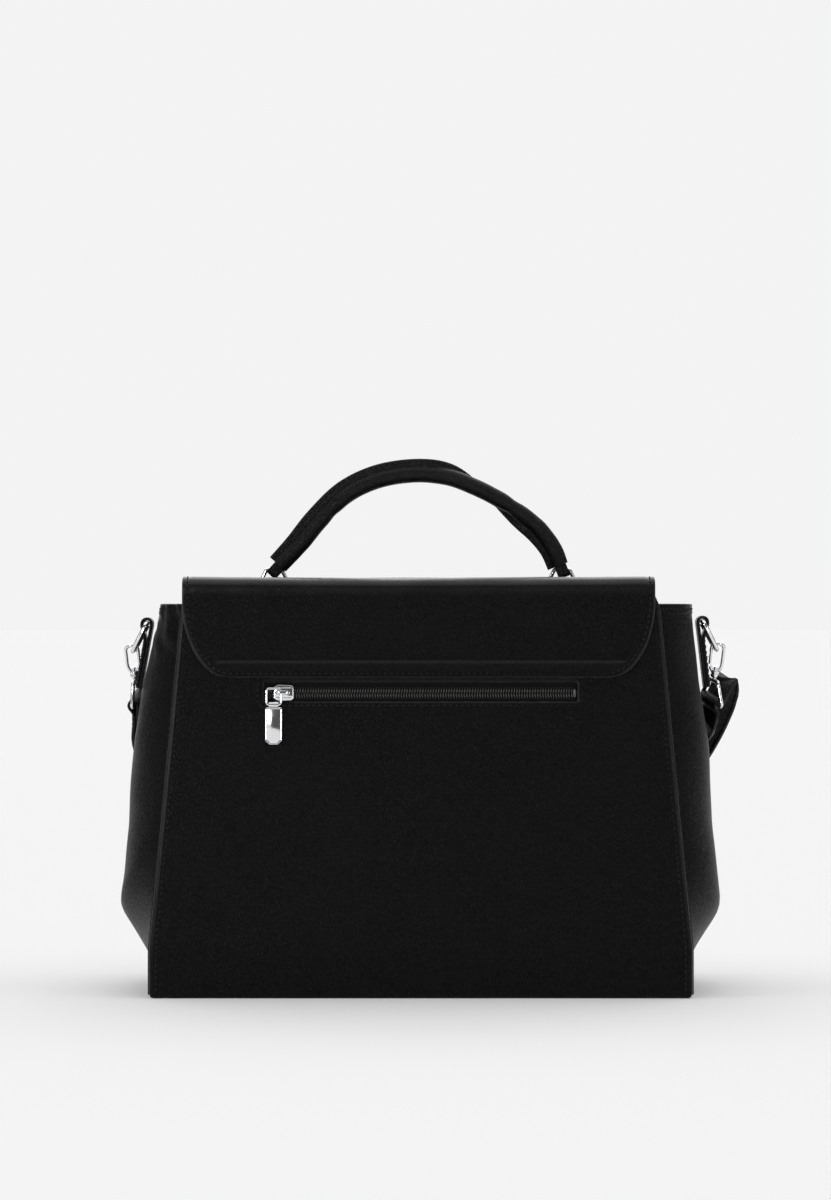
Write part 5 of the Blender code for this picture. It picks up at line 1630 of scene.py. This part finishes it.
def make_inside():
    """Lining, its floor, slip pocket and the magnetic snap."""
    rows = stations(5.2, 223.8, 6.0, fine=(0.0, 0.2, 0.5))
    loops = []
    for z in rows:
        room = float(np.interp(z, (45.0, 60.0, 188.0, 205.0), (0.4, 9.5, 9.5, 0.4)))
        back = -(half_depth(z) - PANEL_THICKNESS - room)
        front = half_depth(z) - PANEL_THICKNESS - 0.4
        seam = half_width(z) - SEAM_INSET - GUSSET_THICKNESS - 1.4
        depth = half_depth(z) - PANEL_THICKNESS - 0.3
        bulge = {}
        for side, reach in ((1, REACH_RIGHT), (-1, REACH_LEFT)):
            room_out = float(np.interp(z, REACH_HEIGHTS, reach)) - GUSSET_THICKNESS - 1.6 - seam
            bulge[side] = max(room_out, -1.0) * 0.9
        loop = []
        for t in np.linspace(0, 1, 31)[:-1]:
            loop.append((-seam + 2 * seam * t, back - 0.3 * rough(300 * t, 0.0, z, 30.0, 1.0), z))
        for t in np.linspace(0, 1, 15)[:-1]:
            y = back + (front - back) * t
            loop.append((seam + bulge[1] * (1 - abs(y / depth) ** 1.8) - 0.6, y, z))
        for t in np.linspace(0, 1, 31)[:-1]:
            loop.append((seam - 2 * seam * t, front - 0.4 - 0.3 * rough(300 * t, 0.0, z, 30.0, 2.0), z))
        for t in np.linspace(0, 1, 15)[:-1]:
            y = front + (back - front) * t
            loop.append((-seam - bulge[-1] * (1 - abs(y / depth) ** 1.8) + 0.6, y, z))
        loops.append(loop + loop[:1])
    edge = np.minimum(np.array(rows) - rows[0], rows[-1] - np.array(rows))[:, None] + np.zeros(len(loops[0]))
    sheet_piece("lining_walls", "lining", "bag", loops, 0.7, edge, 0.35, replaces=["main_lining"])
    floor = [[(x, y, 5.4) for x in stations(-146.0, 146.0, 8.0)] for y in stations(-59.0, 59.0, 8.0)]
    sheet_piece("lining_floor", "lining", "bag", floor, 0.5, grid_edges(floor), 0.3)

    def slip(s, z):
        bow = 0.5 * (1 - (s / 70.0) ** 2) * (z - 75.0) / 105.0
        return (
            s, half_depth(z) - PANEL_THICKNESS - 1.9 - bow - 0.3 * min(max((z - 170.0) / 1.0, 0.0), 1.0), z,
        )

    columns = stations(-70.0, 70.0, 4.0)
    levels = stations(75.0, 180.0, 4.0, (170.0,))
    points = [[slip(s, z) for s in columns] for z in levels]
    sheet_piece(
        "slip_pocket_cloth", "lining", "bag", points, 0.9, grid_edges(points), 0.45, replaces=["slip_pocket"],
    )
    hem = [
        [tuple(Vector(slip(float(s), z)) - Vector((0.0, 0.1, 0.0))) for s in np.arange(-68.0, 68.5, 2.0)]
        for z in (172.0, 177.5)
    ]
    stitch_rows("slip_pocket_hem", hem, "bag")

    lean = math.atan(PANEL_LEAN)
    height = FLAP_FRONT_EDGE + 24
    seat = Matrix.Translation((0.0, half_depth(height), height)) @ Matrix.Rotation(lean - math.pi / 2, 4, "X")
    socket = bmesh.new()
    rim = [(3.0, 0.45), (7.6, 0.45), (8.2, 0.9), (8.8, 1.0), (9.1, 0.6), (9.1, 0.05)]
    lathe(socket, rim, seat, 48)
    add_piece(socket, "snap_socket_disc", "nickel", "bag", ["snap_socket"])
    stud = bmesh.new()
    rim = [(8.5, 1.9), (8.5, 1.5), (8.0, 1.3), (3.0, 1.3), (2.6, 1.1)]
    lathe(stud, rim, seat, 48)
    add_piece(stud, "snap_stud_disc", "nickel", "flap_front", ["snap_stud"])


def finish_nodes():
    """Put the better finishes on the frame's own nodes that stay in view or inside."""
    for name, finish in (("base_board", "board"), ("handle_core", "cord"), ("zip_pocket", "lining")):
        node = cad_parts[name]
        for slot in node.material_slots:
            slot.material = finish_of(finish)


# Stage


def add_light(name, kind, place, aim, energy, **settings):
    """One lamp that looks from a place toward a point."""
    lamp = bpy.data.lights.new(name, kind)
    lamp.energy = energy
    for key, value in settings.items():
        setattr(lamp, key, value)
    made = bpy.data.objects.new(name, lamp)
    made.location = place
    made.rotation_euler = (Vector(aim) - Vector(place)).to_track_quat("-Z", "Y").to_euler()
    made.visible_camera = False
    bpy.context.scene.collection.objects.link(made)
    return made


def make_stage():
    """Pale floor, soft lamps and the camera."""
    bm = bmesh.new()
    bmesh.ops.create_grid(bm, x_segments=2, y_segments=2, size=30000.0)
    floor = add_piece(bm, "floor", "floor", None)
    world = bpy.data.worlds.new("studio")
    bpy.context.scene.world = world
    world.use_nodes = True
    tree = world.node_tree
    seen = add_node(tree, "ShaderNodeLightPath").outputs["Is Camera Ray"]
    dim = add_node(tree, "ShaderNodeBackground", {"Color": (1.0, 1.0, 1.0, 1.0), "Strength": 0.1})
    pale = add_node(tree, "ShaderNodeBackground", {"Color": (*colours().floor, 1.0), "Strength": 1.0})
    mixed = add_node(tree, "ShaderNodeMixShader", {0: seen, 1: dim.outputs[0], 2: pale.outputs[0]})
    tree.links.new(mixed.outputs[0], tree.nodes["World Output"].inputs["Surface"])
    middle = (0.0, 0.0, 0.16)
    # Distant panels light the floor evenly; two low lamps beside the lens put a sheen on the panel's sides.
    for name, turn, rise, energy, spread in SUNS:
        away = math.radians(rise)
        place = (
            3 * math.cos(away) * math.sin(math.radians(turn)),
            -3 * math.cos(away) * math.cos(math.radians(turn)),
            3 * math.sin(away),
        )
        add_light(
            name, "SUN", place, (0.0, 0.0, 0.0), energy,
            angle=math.radians(spread), use_shadow=name != "back_panel_light",
        )
    kept_dark = bpy.data.collections.new("outside_the_sheen_lamps")
    kept_dark.objects.link(floor)
    kept_dark.collection_objects[0].light_linking.link_state = "EXCLUDE"
    for name, place, energy in SHEEN_LAMPS:
        lamp = add_light(name, "AREA", place, middle, energy, shape="SQUARE", size=0.3)
        lamp.light_linking.receiver_collection = kept_dark
    lens = bpy.data.cameras.new("camera")
    lens.lens = LENS
    lens.sensor_width = 36.0
    lens.clip_start = 0.05
    lens.clip_end = 100.0
    camera = bpy.data.objects.new("camera", lens)
    camera.location = CAMERA_PLACE
    camera.rotation_euler = (math.pi / 2, 0.0, 0.0)
    bpy.context.scene.collection.objects.link(camera)
    bpy.context.scene.camera = camera
    bpy.context.scene.view_settings.view_transform = "Standard"


# Operators, in the order in which the bag is made


class SATCHEL_OT_stage(bpy.types.Operator):
    """Make the pale floor, the lamps and the camera"""

    bl_idname = "satchel.make_stage"
    bl_label = "Stage"

    def execute(self, context):
        make_stage()
        return {"FINISHED"}


class SATCHEL_OT_strap(bpy.types.Operator):
    """Make the flat shoulder strap, its leads, tail, wraps and slide"""

    bl_idname = "satchel.make_strap"
    bl_label = "Shoulder strap"

    def execute(self, context):
        make_strap()
        return {"FINISHED"}


class SATCHEL_OT_panels(bpy.types.Operator):
    """Make the back and front panels, the base and their seams"""

    bl_idname = "satchel.make_panels"
    bl_label = "Panels"

    def execute(self, context):
        make_panels()
        return {"FINISHED"}


class SATCHEL_OT_gussets(bpy.types.Operator):
    """Make the two soft side gussets"""

    bl_idname = "satchel.make_gussets"
    bl_label = "Gussets"

    def execute(self, context):
        make_gussets()
        return {"FINISHED"}


class SATCHEL_OT_flap(bpy.types.Operator):
    """Make the flap that folds over the top"""

    bl_idname = "satchel.make_flap"
    bl_label = "Flap"

    def execute(self, context):
        make_flap()
        return {"FINISHED"}


class SATCHEL_OT_handle(bpy.types.Operator):
    """Make the rolled handle, its loops, rings and anchors"""

    bl_idname = "satchel.make_handle"
    bl_label = "Handle"

    def execute(self, context):
        make_handle()
        return {"FINISHED"}


class SATCHEL_OT_zip(bpy.types.Operator):
    """Make the back pocket's zip and its puller"""

    bl_idname = "satchel.make_zip"
    bl_label = "Zip"

    def execute(self, context):
        make_zip()
        return {"FINISHED"}


class SATCHEL_OT_side_fittings(bpy.types.Operator):
    """Make the tabs, D rings, snap hooks and strap eyes"""

    bl_idname = "satchel.make_side_fittings"
    bl_label = "Side fittings"

    def execute(self, context):
        make_side_fittings()
        return {"FINISHED"}


class SATCHEL_OT_inside(bpy.types.Operator):
    """Make the lining, the slip pocket and the magnetic snap, and finish the hidden pieces"""

    bl_idname = "satchel.make_inside"
    bl_label = "Inside"

    def execute(self, context):
        make_inside()
        finish_nodes()
        return {"FINISHED"}


OPERATORS = (
    SATCHEL_OT_stage,
    SATCHEL_OT_strap,
    SATCHEL_OT_panels,
    SATCHEL_OT_gussets,
    SATCHEL_OT_flap,
    SATCHEL_OT_handle,
    SATCHEL_OT_zip,
    SATCHEL_OT_side_fittings,
    SATCHEL_OT_inside,
)


class SATCHEL_PT_pieces(bpy.types.Panel):
    """The bag's sizes, colours and pieces"""

    bl_label = "Satchel"
    bl_idname = "SATCHEL_PT_pieces"
    bl_space_type = "VIEW_3D"
    bl_region_type = "UI"
    bl_category = "Satchel"

    def draw(self, context):
        column = self.layout.column()
        for group in (sizes(), colours()):
            for name in group.__annotations__:
                column.prop(group, name)
        for operator in OPERATORS:
            column.operator(operator.bl_idname)


CLASSES = (SATCHEL_PG_sizes, SATCHEL_PG_colours, *OPERATORS, SATCHEL_PT_pieces)


def register():
    for made in CLASSES:
        bpy.utils.register_class(made)
    bpy.types.Scene.satchel_sizes = PointerProperty(type=SATCHEL_PG_sizes)
    bpy.types.Scene.satchel_colours = PointerProperty(type=SATCHEL_PG_colours)


def unregister():
    del bpy.types.Scene.satchel_colours
    del bpy.types.Scene.satchel_sizes
    for made in reversed(CLASSES):
        bpy.utils.unregister_class(made)


def main():
    register()
    for operator in OPERATORS:
        group, name = operator.bl_idname.split(".")
        getattr(getattr(bpy.ops, group), name)()
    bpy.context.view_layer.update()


if __name__ == "__main__":
    main()
